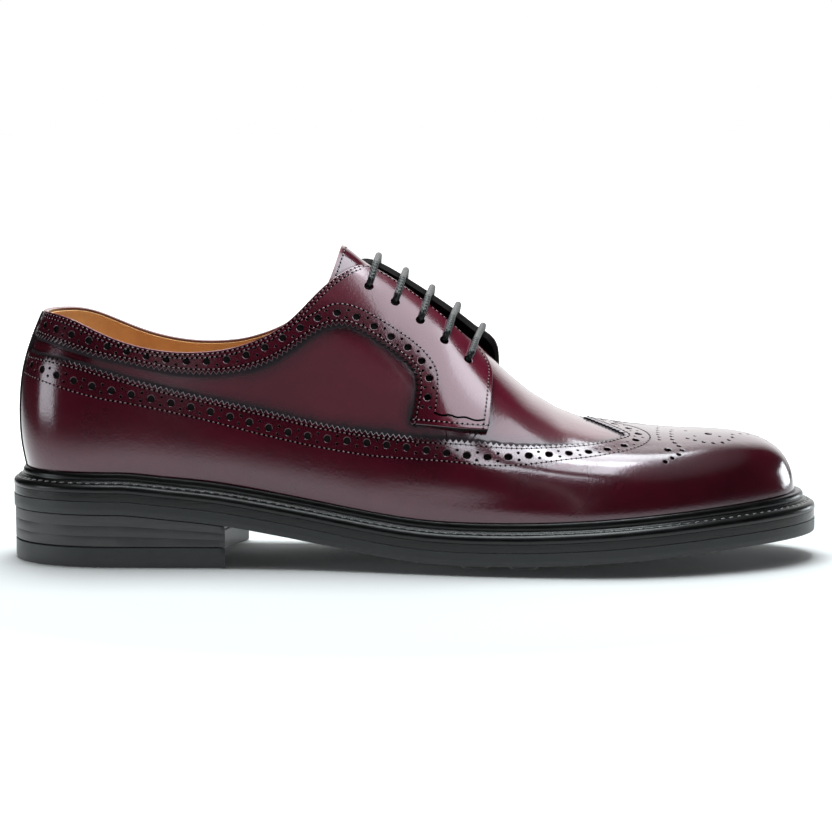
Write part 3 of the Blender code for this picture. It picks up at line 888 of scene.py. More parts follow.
def quads(rows, columns, offset=0, closed_rows=False, closed_columns=False):
    """Faces of a grid of points kept row by row."""
    i, j = np.meshgrid(
        np.arange(rows if closed_rows else rows - 1),
        np.arange(columns if closed_columns else columns - 1),
        indexing="ij",
    )
    i, j = i.ravel(), j.ravel()
    after_i = (i + 1) % rows
    after_j = (j + 1) % columns
    corners = (i, j), (after_i, j), (after_i, after_j), (i, after_j)
    return np.column_stack([offset + a * columns + b for a, b in corners])


def welded(points, faces, grain=1e-3):
    """Equal points made one, with faces that collapse dropped and all turned outwards."""
    points = np.asarray(points, float)
    near = np.round(points / grain)
    _, first, index = np.unique(near, axis=0, return_index=True, return_inverse=True)
    index = index.reshape(-1)
    kept = []
    for face in faces:
        corners = list(dict.fromkeys(int(index[k]) for k in face))
        if len(corners) > 2:
            kept.append(corners)
    mesh = bpy.data.meshes.new("turning")
    mesh.from_pydata(points[first].tolist(), [], kept)
    body = bmesh.new()
    body.from_mesh(mesh)
    bmesh.ops.recalc_face_normals(body, faces=body.faces)
    turned = [[vertex.index for vertex in face.verts] for face in body.faces]
    body.free()
    bpy.data.meshes.remove(mesh)
    return points[first], turned, first


def closed_leaf(face, back, rows, columns):
    """A sheet with walls all round, from the points of its face and back kept row by row."""
    count = len(face)
    faces = quads(rows, columns).tolist() + quads(rows, columns, count).tolist()
    for i in range(rows - 1):
        for j in (0, columns - 1):
            a = i * columns + j
            faces.append((a, a + columns, a + columns + count, a + count))
    for j in range(columns - 1):
        for a in (j, (rows - 1) * columns + j):
            faces.append((a, a + 1, a + 1 + count, a + count))
    return welded(np.concatenate((face, back)), faces)


# Leather panels cut with a flat outline and punched
def punch_rings(punches, fewest=8):
    """Rings round each punched hole, drawn true on the curved face."""
    rings = []
    for a, c, radius in punches:
        sides = 16 if radius > 1.0 else fewest
        turn = np.linspace(0, 2 * np.pi, sides, endpoint=False)
        centre = np.repeat([[a, c]], sides, axis=0)
        by_a, by_c = pattern_pull(centre[:1])[:2]
        normal = np.cross(by_a, by_c)
        first = by_a / np.linalg.norm(by_a)
        second = np.cross(normal, first)
        second = second / np.linalg.norm(second)
        reach = radius * (np.cos(turn)[:, None] * first + np.sin(turn)[:, None] * second)
        rings.append(moved(centre, reach))
    return rings


def inset(outline, distance):
    """A closed outline moved inwards in the face of the last."""
    points, normal = lay(outline)
    run = np.roll(points, -1, axis=0) - np.roll(points, 1, axis=0)
    aside = np.cross(normal, unit(run, TINY)) * distance
    ring = moved(outline, aside)
    if np.mean(inside(ring, outline)) < 0.5:
        ring = moved(outline, -aside)
    return ring[inside(ring, outline)]


def cut_sheet(outline, punches, spacing):
    """Flat triangles of a pattern piece with its punched holes."""
    rims = punch_rings(punches)
    shoulders = punch_rings([(a, c, radius * (1 + HOLE_SHOULDER)) for a, c, radius in punches])
    low = outline.min(axis=0)
    high = outline.max(axis=0)
    across = np.arange(low[1], high[1], spacing * GRID_ROW)
    grid = []
    for k, c in enumerate(across):
        along = np.arange(low[0] + (k % 2) * spacing / 2, high[0], spacing)
        grid.append(np.column_stack((along, np.full(len(along), c))))
    grid = np.concatenate(grid)
    grid = grid[inside(grid, outline)]
    grid = grid[clearance(grid, outline) > GRID_CLEAR * spacing]
    for a, c, radius in punches:
        away = np.hypot(grid[:, 0] - a, grid[:, 1] - c)
        grid = grid[away > radius * (HOLE_CLEAR + HOLE_SHOULDER) + HOLE_CLEAR_MORE]
    points = [outline]
    edges = []
    count = 0
    for ring in [outline, inset(outline, EDGE_ROUND)] + rims + shoulders:
        if ring is not outline:
            points.append(ring)
        ids = np.arange(len(ring)) + count
        edges.append(np.column_stack((ids, np.roll(ids, -1))))
        count += len(ring)
    points.append(grid)
    flat = [Vector(p) for p in np.concatenate(points)]
    links = [tuple(map(int, e)) for e in np.concatenate(edges)]
    out, _, faces = delaunay_2d_cdt(flat, links, [], 0, 1e-5)[:3]
    out = np.array([tuple(p) for p in out])
    faces = np.array([tuple(f) for f in faces])
    middle = out[faces].mean(axis=1)
    keep = inside(middle, outline)
    for ring, (a, c, radius) in zip(rims, punches):
        near = np.hypot(middle[:, 0] - a, middle[:, 1] - c) < HOLE_NEAR * radius
        near = np.nonzero(near & keep)[0]
        if len(near):
            keep[near] = ~inside(middle[near], ring)
    return out, faces[keep]


def stepped(outline, longest=3.0):
    """An outline with its long straight edges cut into short steps."""
    rows = []
    for here, ahead in zip(outline, np.roll(outline, -1, axis=0)):
        count = max(int(np.ceil(np.linalg.norm(ahead - here) / longest)), 1)
        rows.append(here + (ahead - here) * np.linspace(0, 1, count, endpoint=False)[:, None])
    return np.concatenate(rows)


def panel(name, outline, punches, lift, tint):
    """A closed leather panel laid on the last, with cut walls at its edges and holes.
    tint gives the darkening, and where a cut edge is left pale: paler cut leather, painted light enough
    to stand as the rim's highlight."""
    flat, faces = cut_sheet(stepped(outline), punches, PANEL_SPACING)
    used = np.unique(faces)
    index = np.zeros(len(flat), int)
    index[used] = np.arange(len(used))
    flat = flat[used]
    faces = index[faces]
    points, normal = raised(flat, lift)
    one, two, three = (points[faces[:, k]] for k in range(3))
    turned = np.cross(two - one, three - one)
    wrong = np.sum(turned * normal[faces[:, 0]], axis=1) < 0
    faces[wrong] = faces[wrong][:, ::-1]
    sides = np.concatenate((faces[:, [0, 1]], faces[:, [1, 2]], faces[:, [2, 0]]))
    key = np.sort(sides, axis=1)
    _, first, count = np.unique(key, axis=0, return_index=True, return_counts=True)
    border = sides[first[count == 1]]
    rim = np.unique(border)
    reach = np.full(len(flat), FAR)
    for a, c, radius in punches:
        reach = np.minimum(reach, np.hypot(flat[:, 0] - a, flat[:, 1] - c) - radius * HOLE_RIM)
    on_hole = reach < HOLE_RIM_MORE
    run = points[border[:, 1]] - points[border[:, 0]]
    across = unit(np.cross(run, normal[border[:, 0]] + normal[border[:, 1]]), TINY)
    outward = np.zeros((len(flat), 3))
    for k in (0, 1):
        np.add.at(outward, border[:, k], across)
    outward = unit(outward, TINY)
    drop = np.where(on_hole, HOLE_DROP, EDGE_DROP)
    points[rim] -= normal[rim] * drop[rim][:, None]
    lean = normal.copy()
    lean[rim] = normal[rim] * EDGE_LEAN[0] + outward[rim] * EDGE_LEAN[1]
    foot = lay(flat, np.maximum(PANEL_FOOT, lift(flat) - PANEL_THICKNESS))[0]
    count = len(flat)
    under = faces[:, ::-1] + count
    walls = np.column_stack((border[:, 1], border[:, 0], border[:, 0] + count, border[:, 1] + count))
    round_wall = on_hole[border[:, 0]] & on_hole[border[:, 1]]
    wall_normals = np.where(round_wall[:, None, None], outward[walls % count], across[:, None, :])
    burnish, edge = tint(flat)
    is_rim = np.zeros(count, bool)
    is_rim[rim] = True
    edge = np.where(is_rim & ~on_hole, edge, 0.0)
    values = {
        "burnish": np.concatenate((np.where(is_rim, RIM_BURNISH, burnish), np.ones(count))),
        "edge": np.concatenate((edge, edge)),
    }
    every = np.concatenate((points, foot))
    corners = np.concatenate((
        lean[faces].reshape(-1, 3), -normal[faces[:, ::-1]].reshape(-1, 3), wall_normals.reshape(-1, 3),
    ))
    listed = [tuple(f) for part in (faces, under, walls) for f in part]
    piece = add_piece(name, every, listed, CALF, "burgundy_calf", values=values, normals=corners)
    piece.data.materials.append(EDGE_INK_AND_HOLE_SHADE)
    # Cut walls not left pale get matt black edge ink; along the inner facing's throat this black is
    # painted shade of the slot
    black_walls = edge[walls % count].max(axis=1) < 0.5
    finish = np.concatenate((np.zeros(2 * len(faces)), black_walls)).astype(np.int32)
    piece.data.polygons.foreach_set("material_index", finish)
    return piece


# Cut edges of the upper
def throat_gap(along):
    """Half the opening between the facings, wider towards the front."""
    share = coming_in(along, THROAT_TOP, THROAT_FRONT - THROAT_TOP)
    return THROAT_TOP_GAP + (THROAT_FRONT_GAP - THROAT_TOP_GAP) * share


def cut_edge(side, margin, throat_end):
    """Share of each rib below the collar, the throat and, forward of it, the closed crest."""
    net = NETS[side][0]
    shares = np.ones(len(NET_ALONG))
    for i in np.nonzero(NET_ALONG < throat_end)[0]:
        along = NET_ALONG[i]
        if along < TOPLINE[-1][0]:
            shares[i] = np.interp(TOP_Z(along), np.maximum.accumulate(net[i, :, 2]), NET_TS)
        if along > TOPLINE[-4][0]:
            left = np.clip((throat_end - along) / THROAT_ROUND, 0, 1)
            gap = (throat_gap(along) + margin) * np.sqrt(1 - (1 - left) ** 2)
            out = -np.abs(net[i, :, 1] - net[i, -1, 1])
            shares[i] = min(shares[i], np.interp(-gap, np.maximum.accumulate(out), NET_TS))
    return shares


def eased(shares, start=116.0, end=158.0, blend=8.0, span=11):
    """A cut edge with the corner between the collar and the throat rounded off."""
    weights = np.hanning(2 * span + 3)[1:-1]
    soft = np.convolve(np.pad(shares, span, mode="edge"), weights / weights.sum(), "valid")
    part = coming_in(NET_ALONG, start, blend) * coming_in(NET_ALONG, end, -blend)
    return shares + (soft - shares) * part


def lining_edge(side):
    """The lining's cut edge, a little below that of the leather over it."""
    short = SKIN_EDGE[side] - LINING_SHORT / NETS[side][2]
    return np.where(SKIN_EDGE[side] < 1, short, 1.0)


SKIN_EDGE = {side: eased(cut_edge(side, SKIN_MARGIN, SKIN_THROAT_END)) for side in SIDES}
FACING_EDGE = {side: eased(cut_edge(side, 0.0, FACING_FRONT + 20)) for side in SIDES}
LINING_EDGE = {side: lining_edge(side) for side in SIDES}


def edge_line(side, a):
    """Pattern places of the collar and throat edge."""
    share = np.interp(a, NET_A, FACING_EDGE[side])
    return np.column_stack((a, SIGN[side] * (1 - share) * girth_at(side, a)))


def make_shell(name, lift, back, edges, material, slot, tint, every=3, rows=56, **more):
    """A thin closed layer over the whole last below its cut edges."""
    stations = np.append(np.arange(0, len(NET_A) - 1, every), len(NET_A) - 1)
    points = []
    faces = []
    places = []
    behind = []
    tip = np.array((UPPER_TOE, AXIS(UPPER_TOE), bed_z(UPPER_TOE)))
    count = len(stations)
    for side in SIDES:
        shares = edges[side][stations][:, None] * np.linspace(0, 1, rows)[None, :]
        a = np.repeat(NET_A[stations], rows)
        c = SIGN[side] * ((1 - shares) * NETS[side][2][stations][:, None]).ravel()
        pattern = np.column_stack((a, c))
        firsts = []
        for how in (lift, back):
            firsts.append(sum(map(len, points)))
            points.append(lay(pattern, how(pattern))[0])
            points.append(tip[None, :] + ((float(how(pattern[-1:])[0]), 0, 0),))
            places.append(np.concatenate((pattern, pattern[-1:])))
            behind.append(np.full(len(pattern) + 1, how is back))
            first = firsts[-1]
            last = first + count * rows
            faces.extend(quads(count, rows, first).tolist())
            end = last - rows
            faces.extend((last, end + j, end + j + 1) for j in range(rows - 1))
        shift = firsts[1] - firsts[0]
        top_open = edges[side][stations] < 1
        for i in range(count - 1):
            a = firsts[0] + i * rows
            faces.append((a, a + rows, a + rows + shift, a + shift))
            if top_open[i]:
                a += rows - 1
                faces.append((a, a + rows, a + rows + shift, a + shift))
        tip_at = firsts[0] + count * rows
        faces.append((tip_at, tip_at - rows, tip_at - rows + shift, tip_at + shift))
    for outer, inner in ((points[0], points[4]), (points[2], points[6])):
        meeting = (outer[:rows] + inner[:rows]) / 2
        outer[:rows] = meeting
        inner[:rows] = meeting
    points, faces, first = welded(np.concatenate(points), faces)
    behind = np.concatenate(behind)[first]
    values = None
    if tint:
        values = tint(np.concatenate(places)[first])
        values["burnish"] = np.where(behind, BACK_BURNISH, values["burnish"])
        values["edge"] = np.where(behind, BACK_PALENESS, values["edge"])
    piece = add_piece(name, points, faces, material, slot, values=values, **more)
    if tint:
        # Faces hidden under the panels get the matt near-black finish: painted shade, seen down the
        # punched holes
        piece.data.materials.append(EDGE_INK_AND_HOLE_SHADE)
        covered = values["burnish"] > COVERED
        hidden = [int(all(covered[k] for k in face)) for face in faces]
        piece.data.polygons.foreach_set("material_index", hidden)
    return piece


# Finishes
def new_finish(name):
    material = bpy.data.materials.new(name)
    material.use_nodes = True
    return material, material.node_tree, material.node_tree.nodes["Principled BSDF"]


def node(tree, kind, values=None, **settings):
    """A shader node with its settings and inputs, linked where a value is a socket."""
    made = tree.nodes.new(kind)
    for key, value in settings.items():
        setattr(made, key, value)
    for key, value in (values or {}).items():
        join(tree, value, made.inputs[key])
    return made


def join(tree, value, socket):
    if isinstance(value, bpy.types.NodeSocket):
        tree.links.new(value, socket)
    else:
        socket.default_value = value


def math(tree, operation, first, second=0.0):
    made = node(tree, "ShaderNodeMath", operation=operation)
    join(tree, first, made.inputs[0])
    join(tree, second, made.inputs[1])
    return made.outputs[0]


def shades(tree, factor, stops):
    """Colours over a factor: each stop is a place and a colour."""
    made = node(tree, "ShaderNodeValToRGB", {"Fac": factor})
    bar = made.color_ramp
    for k, (place, colour) in enumerate(stops):
        stop = bar.elements[k] if k < len(bar.elements) else bar.elements.new(place)
        stop.position = place
        stop.color = (*colour, 1.0)
    return made.outputs["Color"]


def varied(tree, base, amount, pattern):
    """A base value with an amount of a pattern added."""
    return math(tree, "ADD", math(tree, "MULTIPLY", pattern, amount), base)


def mapped(tree, value, ends, levels):
    """A value carried from between two ends to between two levels, and held beyond them."""
    values = {"Value": value, 1: ends[0], 2: ends[1], 3: levels[0], 4: levels[1]}
    return node(tree, "ShaderNodeMapRange", values).outputs[0]


def blended(tree, factor, first, second):
    """A colour socket mixed towards a plain colour."""
    made = node(tree, "ShaderNodeMix", data_type="RGBA")
    for key, value in (("Factor", factor), ("A", first), ("B", (*second, 1.0))):
        join(tree, value, made.inputs[key])
    return made.outputs["Result"]


def grey(tree, level):
    return node(tree, "ShaderNodeCombineColor", {"Red": level, "Green": level, "Blue": level}).outputs[0]


def stretched(tree, place, scale):
    """Places drawn out, for streaks."""
    return node(tree, "ShaderNodeMapping", {"Vector": place, "Scale": scale}).outputs["Vector"]


def pored(tree, place, scale):
    return node(tree, "ShaderNodeTexVoronoi", {"Vector": place, "Scale": scale}).outputs["Distance"]


def noise(tree, coords, scale, detail=3.0, rough=0.5):
    values = {"Vector": coords, "Scale": scale, "Detail": detail, "Roughness": rough}
    return node(tree, "ShaderNodeTexNoise", values).outputs["Fac"]


def bumped(tree, height, strength, distance, below=None):
    values = {"Height": height, "Strength": strength, "Distance": distance}
    if below:
        values["Normal"] = below
    return node(tree, "ShaderNodeBump", values).outputs["Normal"]


def object_place(tree):
    return node(tree, "ShaderNodeTexCoord").outputs["Object"]


def stored(tree, name):
    return node(tree, "ShaderNodeAttribute", attribute_name=name).outputs["Fac"]


def set_shader(tree, shader, **values):
    """Inputs of a shader, with underscores for the spaces in their names."""
    for key, value in values.items():
        join(tree, value, shader.inputs[key.replace("_", " ")])


# Colours as linear red, green and blue
CALF_LIGHT = (0.110, 0.0070, 0.0200)
CALF_MIDDLE = (0.064, 0.0044, 0.0122)
CALF_DARK = (0.0040, 0.0014, 0.0019)
CALF_SHEEN = (1.0, 0.86, 0.97, 1.0)
# The pale of a cut edge, also standing as a painted highlight along the collar and throat rims and the
# tongue's top
CUT_EDGE_AND_RIM_HIGHLIGHT = (0.24, 0.075, 0.075)
EDGE_LEATHER = ((0.3, (0.002, 0.002, 0.0023)), (0.75, (0.006, 0.006, 0.0065)))
HEEL_GREY = ((0.3, (0.022, 0.021, 0.023)), (0.7, (0.042, 0.041, 0.043)))
RUBBER_GREY = ((0.3, (0.011, 0.013, 0.0142)), (0.7, (0.018, 0.0212, 0.023)))
LINING_TAN = ((0.3, (0.58, 0.30, 0.11)), (0.7, (0.74, 0.42, 0.17)))
# Black lace, lighter on the braid's raised plaits and darker in its grooves: painted highlight and shade
LACE_BLACK_WITH_PAINTED_BRAID_LIGHT = ((0.1, (0.0015, 0.002, 0.002)), (0.8, (0.019, 0.024, 0.026)))
THREADS = (
    ("name", "dark", "light", "roughness", "coat", "specular"),
    ("waxed_thread", (0.045, 0.012, 0.018), (0.16, 0.09, 0.10), 0.24, 1.0, 0.5),
    ("grey_welt_thread", (0.14, 0.145, 0.14), (0.42, 0.43, 0.42), 0.42, 0.0, 0.5),
    # Near-black marks: painted shade in the needle holes
    ("painted_needle_hole_shade", (0.0004, 0.0003, 0.0003), (0.0012, 0.0008, 0.0008), 0.9, 0.0, 0.0),
    # Matt near-black: edge ink on cut walls, and painted shade on leather hidden under the panels
    ("matt_edge_ink_and_painted_hole_shade", (0.004, 0.0025, 0.0027), (0.010, 0.006, 0.006), 0.8, 0.0, 0.25),
)
PLAIT_TURN = 0.85


def calf_finish():
    """Burgundy calf: waxed and polished over a fine grain, darkened by the seams, partly burnished and
    partly painted shade.
    Where the darkening is heaviest it is left matt, as on inked edges and in the painted shade."""
    material, tree, shader = new_finish("burgundy_calf_polished")
    place = object_place(tree)
    burnish = stored(tree, "burnish")
    edge = stored(tree, "edge")
    cloud = noise(tree, place, 38.0, 4.0, 0.55)
    mottle = noise(tree, place, 210.0, 3.0, 0.6)
    depth = varied(tree, -0.155, 0.72, burnish)
    depth = varied(tree, varied(tree, depth, 0.55, cloud), 0.16, mottle)
    colour = shades(tree, depth, ((0.0, CALF_LIGHT), (0.45, CALF_MIDDLE), (1.0, CALF_DARK)))
    streak = noise(tree, stretched(tree, place, (0.3, 1.0, 1.0)), 420.0, 4.0, 0.6)
    normal = bumped(tree, pored(tree, place, 1500.0), 0.10, 0.0002)
    normal = bumped(tree, noise(tree, place, 900.0, 3.0, 0.6), 0.18, 0.0002, normal)
    normal = bumped(tree, streak, 0.035, 0.0004, normal)
    normal = bumped(tree, mottle, 0.085, 0.0006, normal)
    # The heaviest darkening is made matt black: inked cut edges, and the painted shade in the throat slot
    # and tight against the panels
    ink_and_shade = mapped(tree, burnish, (0.85, 1.1), (0.0, 1.0))
    gloss = varied(tree, varied(tree, 0.12, 0.09, cloud), 0.35, edge)
    set_shader(
        tree, shader, Base_Color=blended(tree, edge, colour, CUT_EDGE_AND_RIM_HIGHLIGHT), Normal=normal,
        Roughness=varied(tree, gloss, 0.5, ink_and_shade), Coat_Weight=varied(tree, 0.55, -0.55, ink_and_shade),
        Coat_Roughness=0.11, Specular_IOR_Level=0.6, Specular_Tint=CALF_SHEEN,
    )
    return material


def dark_leather_finish():
    """Black edge leather: waxed and burnished, with faint streaks along the edge."""
    material, tree, shader = new_finish("black_edge_leather_waxed")
    place = object_place(tree)
    streak = noise(tree, stretched(tree, place, (0.25, 0.6, 4.0)), 260.0, 4.0, 0.6)
    fibre = noise(tree, place, 1300.0, 3.0, 0.6)
    set_shader(
        tree, shader, Base_Color=shades(tree, streak, EDGE_LEATHER),
        Normal=bumped(tree, fibre, 0.12, 0.0002, bumped(tree, streak, 0.16, 0.0004)),
        Roughness=varied(tree, 0.18, 0.25, streak),
        Coat_Weight=0.15, Coat_Roughness=0.2, Specular_IOR_Level=0.3,
    )
    return material


def heel_finish():
    """Stacked heel leather: stained black, rubbed to a dull grey sheen."""
    material, tree, shader = new_finish("black_heel_stack")
    place = object_place(tree)
    streak = noise(tree, stretched(tree, place, (0.2, 0.2, 3.0)), 320.0, 4.0, 0.6)
    scuff = noise(tree, place, 70.0, 4.0, 0.6)
    tone = math(tree, "MULTIPLY", math(tree, "ADD", streak, scuff), 0.5)
    set_shader(
        tree, shader, Base_Color=shades(tree, tone, HEEL_GREY),
        Normal=bumped(tree, streak, 0.14, 0.0003), Roughness=varied(tree, 0.36, 0.2, scuff),
    )
    return material


def rubber_finish():
    """Sole rubber: dark grey with a faint green cast, buffed matt at the edge."""
    material, tree, shader = new_finish("sole_rubber_buffed")
    place = object_place(tree)
    cloud = noise(tree, place, 90.0, 4.0, 0.6)
    grit = noise(tree, place, 2200.0, 2.0, 0.6)
    set_shader(
        tree, shader, Base_Color=shades(tree, cloud, RUBBER_GREY),
        Normal=bumped(tree, grit, 0.18, 0.0002), Roughness=varied(tree, 0.38, 0.2, cloud),
    )
    return material


def tan_finish():
    """Tan lining leather, smooth and unpolished."""
    material, tree, shader = new_finish("tan_lining_leather")
    place = object_place(tree)
    cloud = noise(tree, place, 60.0, 4.0, 0.6)
    set_shader(
        tree, shader, Base_Color=shades(tree, cloud, LINING_TAN), Roughness=0.55,
        Normal=bumped(tree, pored(tree, place, 1300.0), 0.15, 0.0003),
    )
    return material


def thread_finish(name, dark, light, roughness, coat, specular):
    """Waxed sewing thread with a twist across each stitch, or a plain near-black matt mark of the same
    build, for painted shade in holes and for edge ink.
    """
    material, tree, shader = new_finish(name)
    strand = noise(tree, object_place(tree), 1800.0, 2.0, 0.5)
    set_shader(
        tree, shader, Base_Color=shades(tree, strand, ((0.35, dark), (0.65, light))),
        Normal=bumped(tree, strand, 0.25, 0.0002), Roughness=roughness,
        Coat_Weight=coat, Coat_Roughness=0.2, Specular_IOR_Level=specular,
    )
    return material


def lace_finish():
    """Black waxed round lace, braided: its map runs along the lace and round it."""
    material, tree, shader = new_finish("black_braided_lace")
    coords = node(tree, "ShaderNodeUVMap", uv_map="lace_run").outputs["UV"]
    plaits = []
    for turn in (PLAIT_TURN, -PLAIT_TURN):
        slanted = node(tree, "ShaderNodeMapping", {"Vector": coords, "Rotation": (0, 0, turn)})
        values = {"Vector": slanted.outputs["Vector"], "Scale": 0.28}
        plaits.append(node(tree, "ShaderNodeTexWave", values).outputs["Fac"])
    plait = math(tree, "MULTIPLY", *plaits)
    rub = noise(tree, object_place(tree), 750.0, 3.0, 0.6)
    set_shader(
        # The colour follows the braid's relief: painted highlight on the plaits, painted shade in the
        # grooves
        tree, shader, Base_Color=shades(tree, plait, LACE_BLACK_WITH_PAINTED_BRAID_LIGHT), Roughness=0.34, Specular_IOR_Level=0.35,
        Normal=bumped(tree, rub, 0.6, 0.0004, bumped(tree, plait, 0.8, 0.0003)),
    )
    return material


CALF = calf_finish()
DARK_LEATHER = dark_leather_finish()
HEEL_LEATHER = heel_finish()
RUBBER = rubber_finish()
TAN = tan_finish()
LACE = lace_finish()
UPPER_THREAD, WELT_THREAD, NEEDLE_HOLE_SHADE, EDGE_INK_AND_HOLE_SHADE = (thread_finish(*row) for row in THREADS[1:])

# The lines that the panels share
WING_EDGE = {side: line_of(WING_TOP, side) for side in SIDES}
GIMP_LINE = {side: line_of(FACING_GIMP, side) for side in SIDES}


def across_toe(table, peak):
    """A line up the outer side, over the crest at its peak and back down the inner side."""
    top = [[np.interp(peak, NET_ALONG, NET_A), 0.0]]
    rows = placed(table, "outer"), top, placed(table, "inner")[::-1]
    return flowing(np.concatenate(rows), 1400)


def turned_corner(first, second):
    """Two lines that meet, with the corner between them turned on a small round."""
    corner = second[0]
    first = first[np.linalg.norm(first - corner, axis=1) > WING_CORNER_ROUND]
    second = second[np.linalg.norm(second - corner, axis=1) > WING_CORNER_ROUND]
    t = np.linspace(0, 1, 14)[1:, None]
    turn = (1 - t) ** 2 * first[-1] + 2 * t * (1 - t) * corner + t**2 * second[0]
    return np.concatenate((first, turn)), second


def wing_edge_line():
    """The wing's top edge: up each side to a sharp corner, then back to the peak on the crest."""
    peak = np.array([[np.interp(WING_PEAK, NET_ALONG, NET_A), 0.0]])
    parts = []
    for side in SIDES:
        corner = WING_EDGE[side][-1:]
        bow = (corner + peak) / 2 + (WING_PEAK_BOW, 0.0)
        parts.append((WING_EDGE[side], flowing(np.concatenate((corner, bow, peak)), 120)))
    outer, inner = (turned_corner(*part) for part in parts)
    return outer[0], outer[1], inner[1][::-1], inner[0][::-1]


def spaced_punches(line, pitch=HOLE_PITCH):
    """Big holes along a line, with a pair of small ones across it between each two."""
    places = paced(line, pitch / 2)
    punches = [(a, c, BIG_HOLE) for a, c in places[::2]]
    for distance in (-PAIR_SPREAD, PAIR_SPREAD):
        punches.extend((a, c, SMALL_HOLE) for a, c in beside(places, distance)[1::2])
    return punches


def feather_line(side):
    """The bottom edge of the upper, from the heel to the toe."""
    return np.column_stack((NET_A, SIGN[side] * NETS[side][2]))[::3]


WING_LINE = wing_edge_line()
WING_WHOLE = np.concatenate(WING_LINE)
WING_HOLE_LINE = across_toe(WING_HOLES, WING_HOLE_PEAK)
WING_SEAM_LINE = across_toe(WING_LOWER_SEAM, WING_SEAM_PEAK)


def medallion_punches():
    """The medallion's holes on both sides of the crest."""
    punches = []
    for along, out, radius in MEDALLION[1:]:
        a = float(np.interp(along, NET_ALONG, NET_A))
        punches.append((a, -out, radius))
        if out:
            punches.append((a, out, radius))
    return punches


WING_BURNISH = 0.34
TOE_BURNISH = 0.3
TOE_BURNISH_START = (205, 60)
# Burnish and painted shade beside a line: its strength, the distance kept full and the run over which it
# fades
BURNISH_AND_SHADE = {
    "wing_edge": ((0.5, 7.0, 9.0), (0.3, 0.8, 1.6)),
    "medallion": ((0.4, 2.0, 9.0),),
    # Painted shade low on the upper, where it meets the welt
    "welt": ((0.5, 5.0, 6.0),),
    "gimped_edge": ((0.5, 5.0, 7.0), (0.3, 0.8, 1.6)),
    "collar": ((0.35, 0.0, 4.0),),
    "nose": ((0.3, 0.0, 5.0),),
    # Painted shade: the inner facing's throat rim is painted black as the shade of the slot between the
    # facings
    "inner_throat_shade": ((1.2, 0.6, 1.2),),
    # A wider darker band beside the panels' edges, and a painted shadow line tight against them
    "panel_shadow_and_halo": ((0.6, 0.5, 6.5), (0.6, 1.2, 1.3)),
    # Darker just before the facings' fronts
    "before_facing": ((0.4, 0.0, 4.0),),
}


def burnished(line, away):
    """Darkening, burnish and painted shade as the table gives, at the given distances from a line of the
    named kind.
    """
    return sum(strength * (1 - coming_in(away, full, run)) for strength, full, run in BURNISH_AND_SHADE[line])


def wing_tint(flat):
    """Burnish along the cut edge and the punched band and round the medallion, and painted shade low down
    by the welt.
    """
    a, c = flat.T
    medal = np.array([p[:2] for p in medallion_punches()])
    reach = np.where(c < 0, girth_at("outer", a), girth_at("inner", a))
    marks = (
        burnished("wing_edge", clearance(flat, WING_WHOLE[::4])),
        burnished("medallion", clearance(flat, medal)),
        # Painted shade towards the welt
        burnished("welt", reach - np.abs(c)),
        WING_BURNISH + TOE_BURNISH * coming_in(a, *TOE_BURNISH_START),
    )
    return np.max(marks, axis=0), np.zeros(len(flat))


def make_wing():
    """The long wing: heel to toe on both sides in one sheet, with its W over the toe."""
    top = [gimped(part)[::-1] for part in WING_LINE[::-1]]
    outline = np.concatenate((
        feather_line("outer"), feather_line("inner")[::-1],
        *[part[:-1] for part in top[:-1]], top[-1],
    ))
    punches = spaced_punches(WING_HOLE_LINE) + medallion_punches()
    return panel("wing", outline, punches, wing_lift, wing_tint)


def facing_outline(side):
    """Outline of one facing and its collar strip: the gimped edge, the front and the collar."""
    front = placed(FACING_FRONT_EDGE, side)
    hem = paced(flowing(front[:HEM_ROWS], 60), 1.6)
    collar = edge_line(side, np.linspace(THROAT_START, BACK_SEAM, 320))
    nose = flowing(np.concatenate((front[HEM_ROWS - 1 :], collar[:2])), 200)
    teeth = gimped(GIMP_LINE[side])
    return np.concatenate((teeth[:-1], hem[:-1], paced(nose, 1.5)[:-1], paced(collar, 1.5)))


PALE_RIM_HIGHLIGHT = {"outer": 1.0, "inner": 0.6}
RIM_WIDTH = 0.4
NOSE_WIDTH = 2.0
COLLAR_FRONT = (112, 10)


def facing_tint(side):
    """Darkening of one facing, burnish and painted shade, and its rim, left pale at the collar: the paler
    cut edge with a painted highlight on it.
    """
    def tint(flat):
        rim = clearance(flat, edge_line(side, np.linspace(-13, 175, 260)))
        nose = clearance(flat, flowing(placed(FACING_FRONT_EDGE, side)[HEM_ROWS - 1 :], 80))
        gimp = burnished("gimped_edge", clearance(flat, GIMP_LINE[side][::3]))
        collar = burnished("collar", rim) + burnished("nose", nose)
        # Pale rim along the collar and throat edge: the cut edge with a painted highlight
        edge = ((rim < RIM_WIDTH) & (nose > NOSE_WIDTH)) * PALE_RIM_HIGHLIGHT[side]
        if side == "inner":
            # Along the inner throat the rim is not pale but painted black: the shade of the slot between
            # the facings
            throat = coming_in(flat[:, 0], *COLLAR_FRONT)
            edge = edge * (1 - throat)
            collar = np.maximum(collar, throat * burnished("inner_throat_shade", rim))
        return np.maximum(gimp, collar), edge
    return tint


def make_facing(side):
    """One facing with its collar strip, eyelets and punching."""
    punches = spaced_punches(beside(line_of(FACING_HOLES, side), -SIGN[side] * HOLE_LINE_SHIFT))
    for x, out in EYELETS[1:]:
        punches.append((x, SIGN[side] * out, EYELET_RADIUS))
    return panel(f"facing_{side}", facing_outline(side), punches, facing_lift, facing_tint(side))


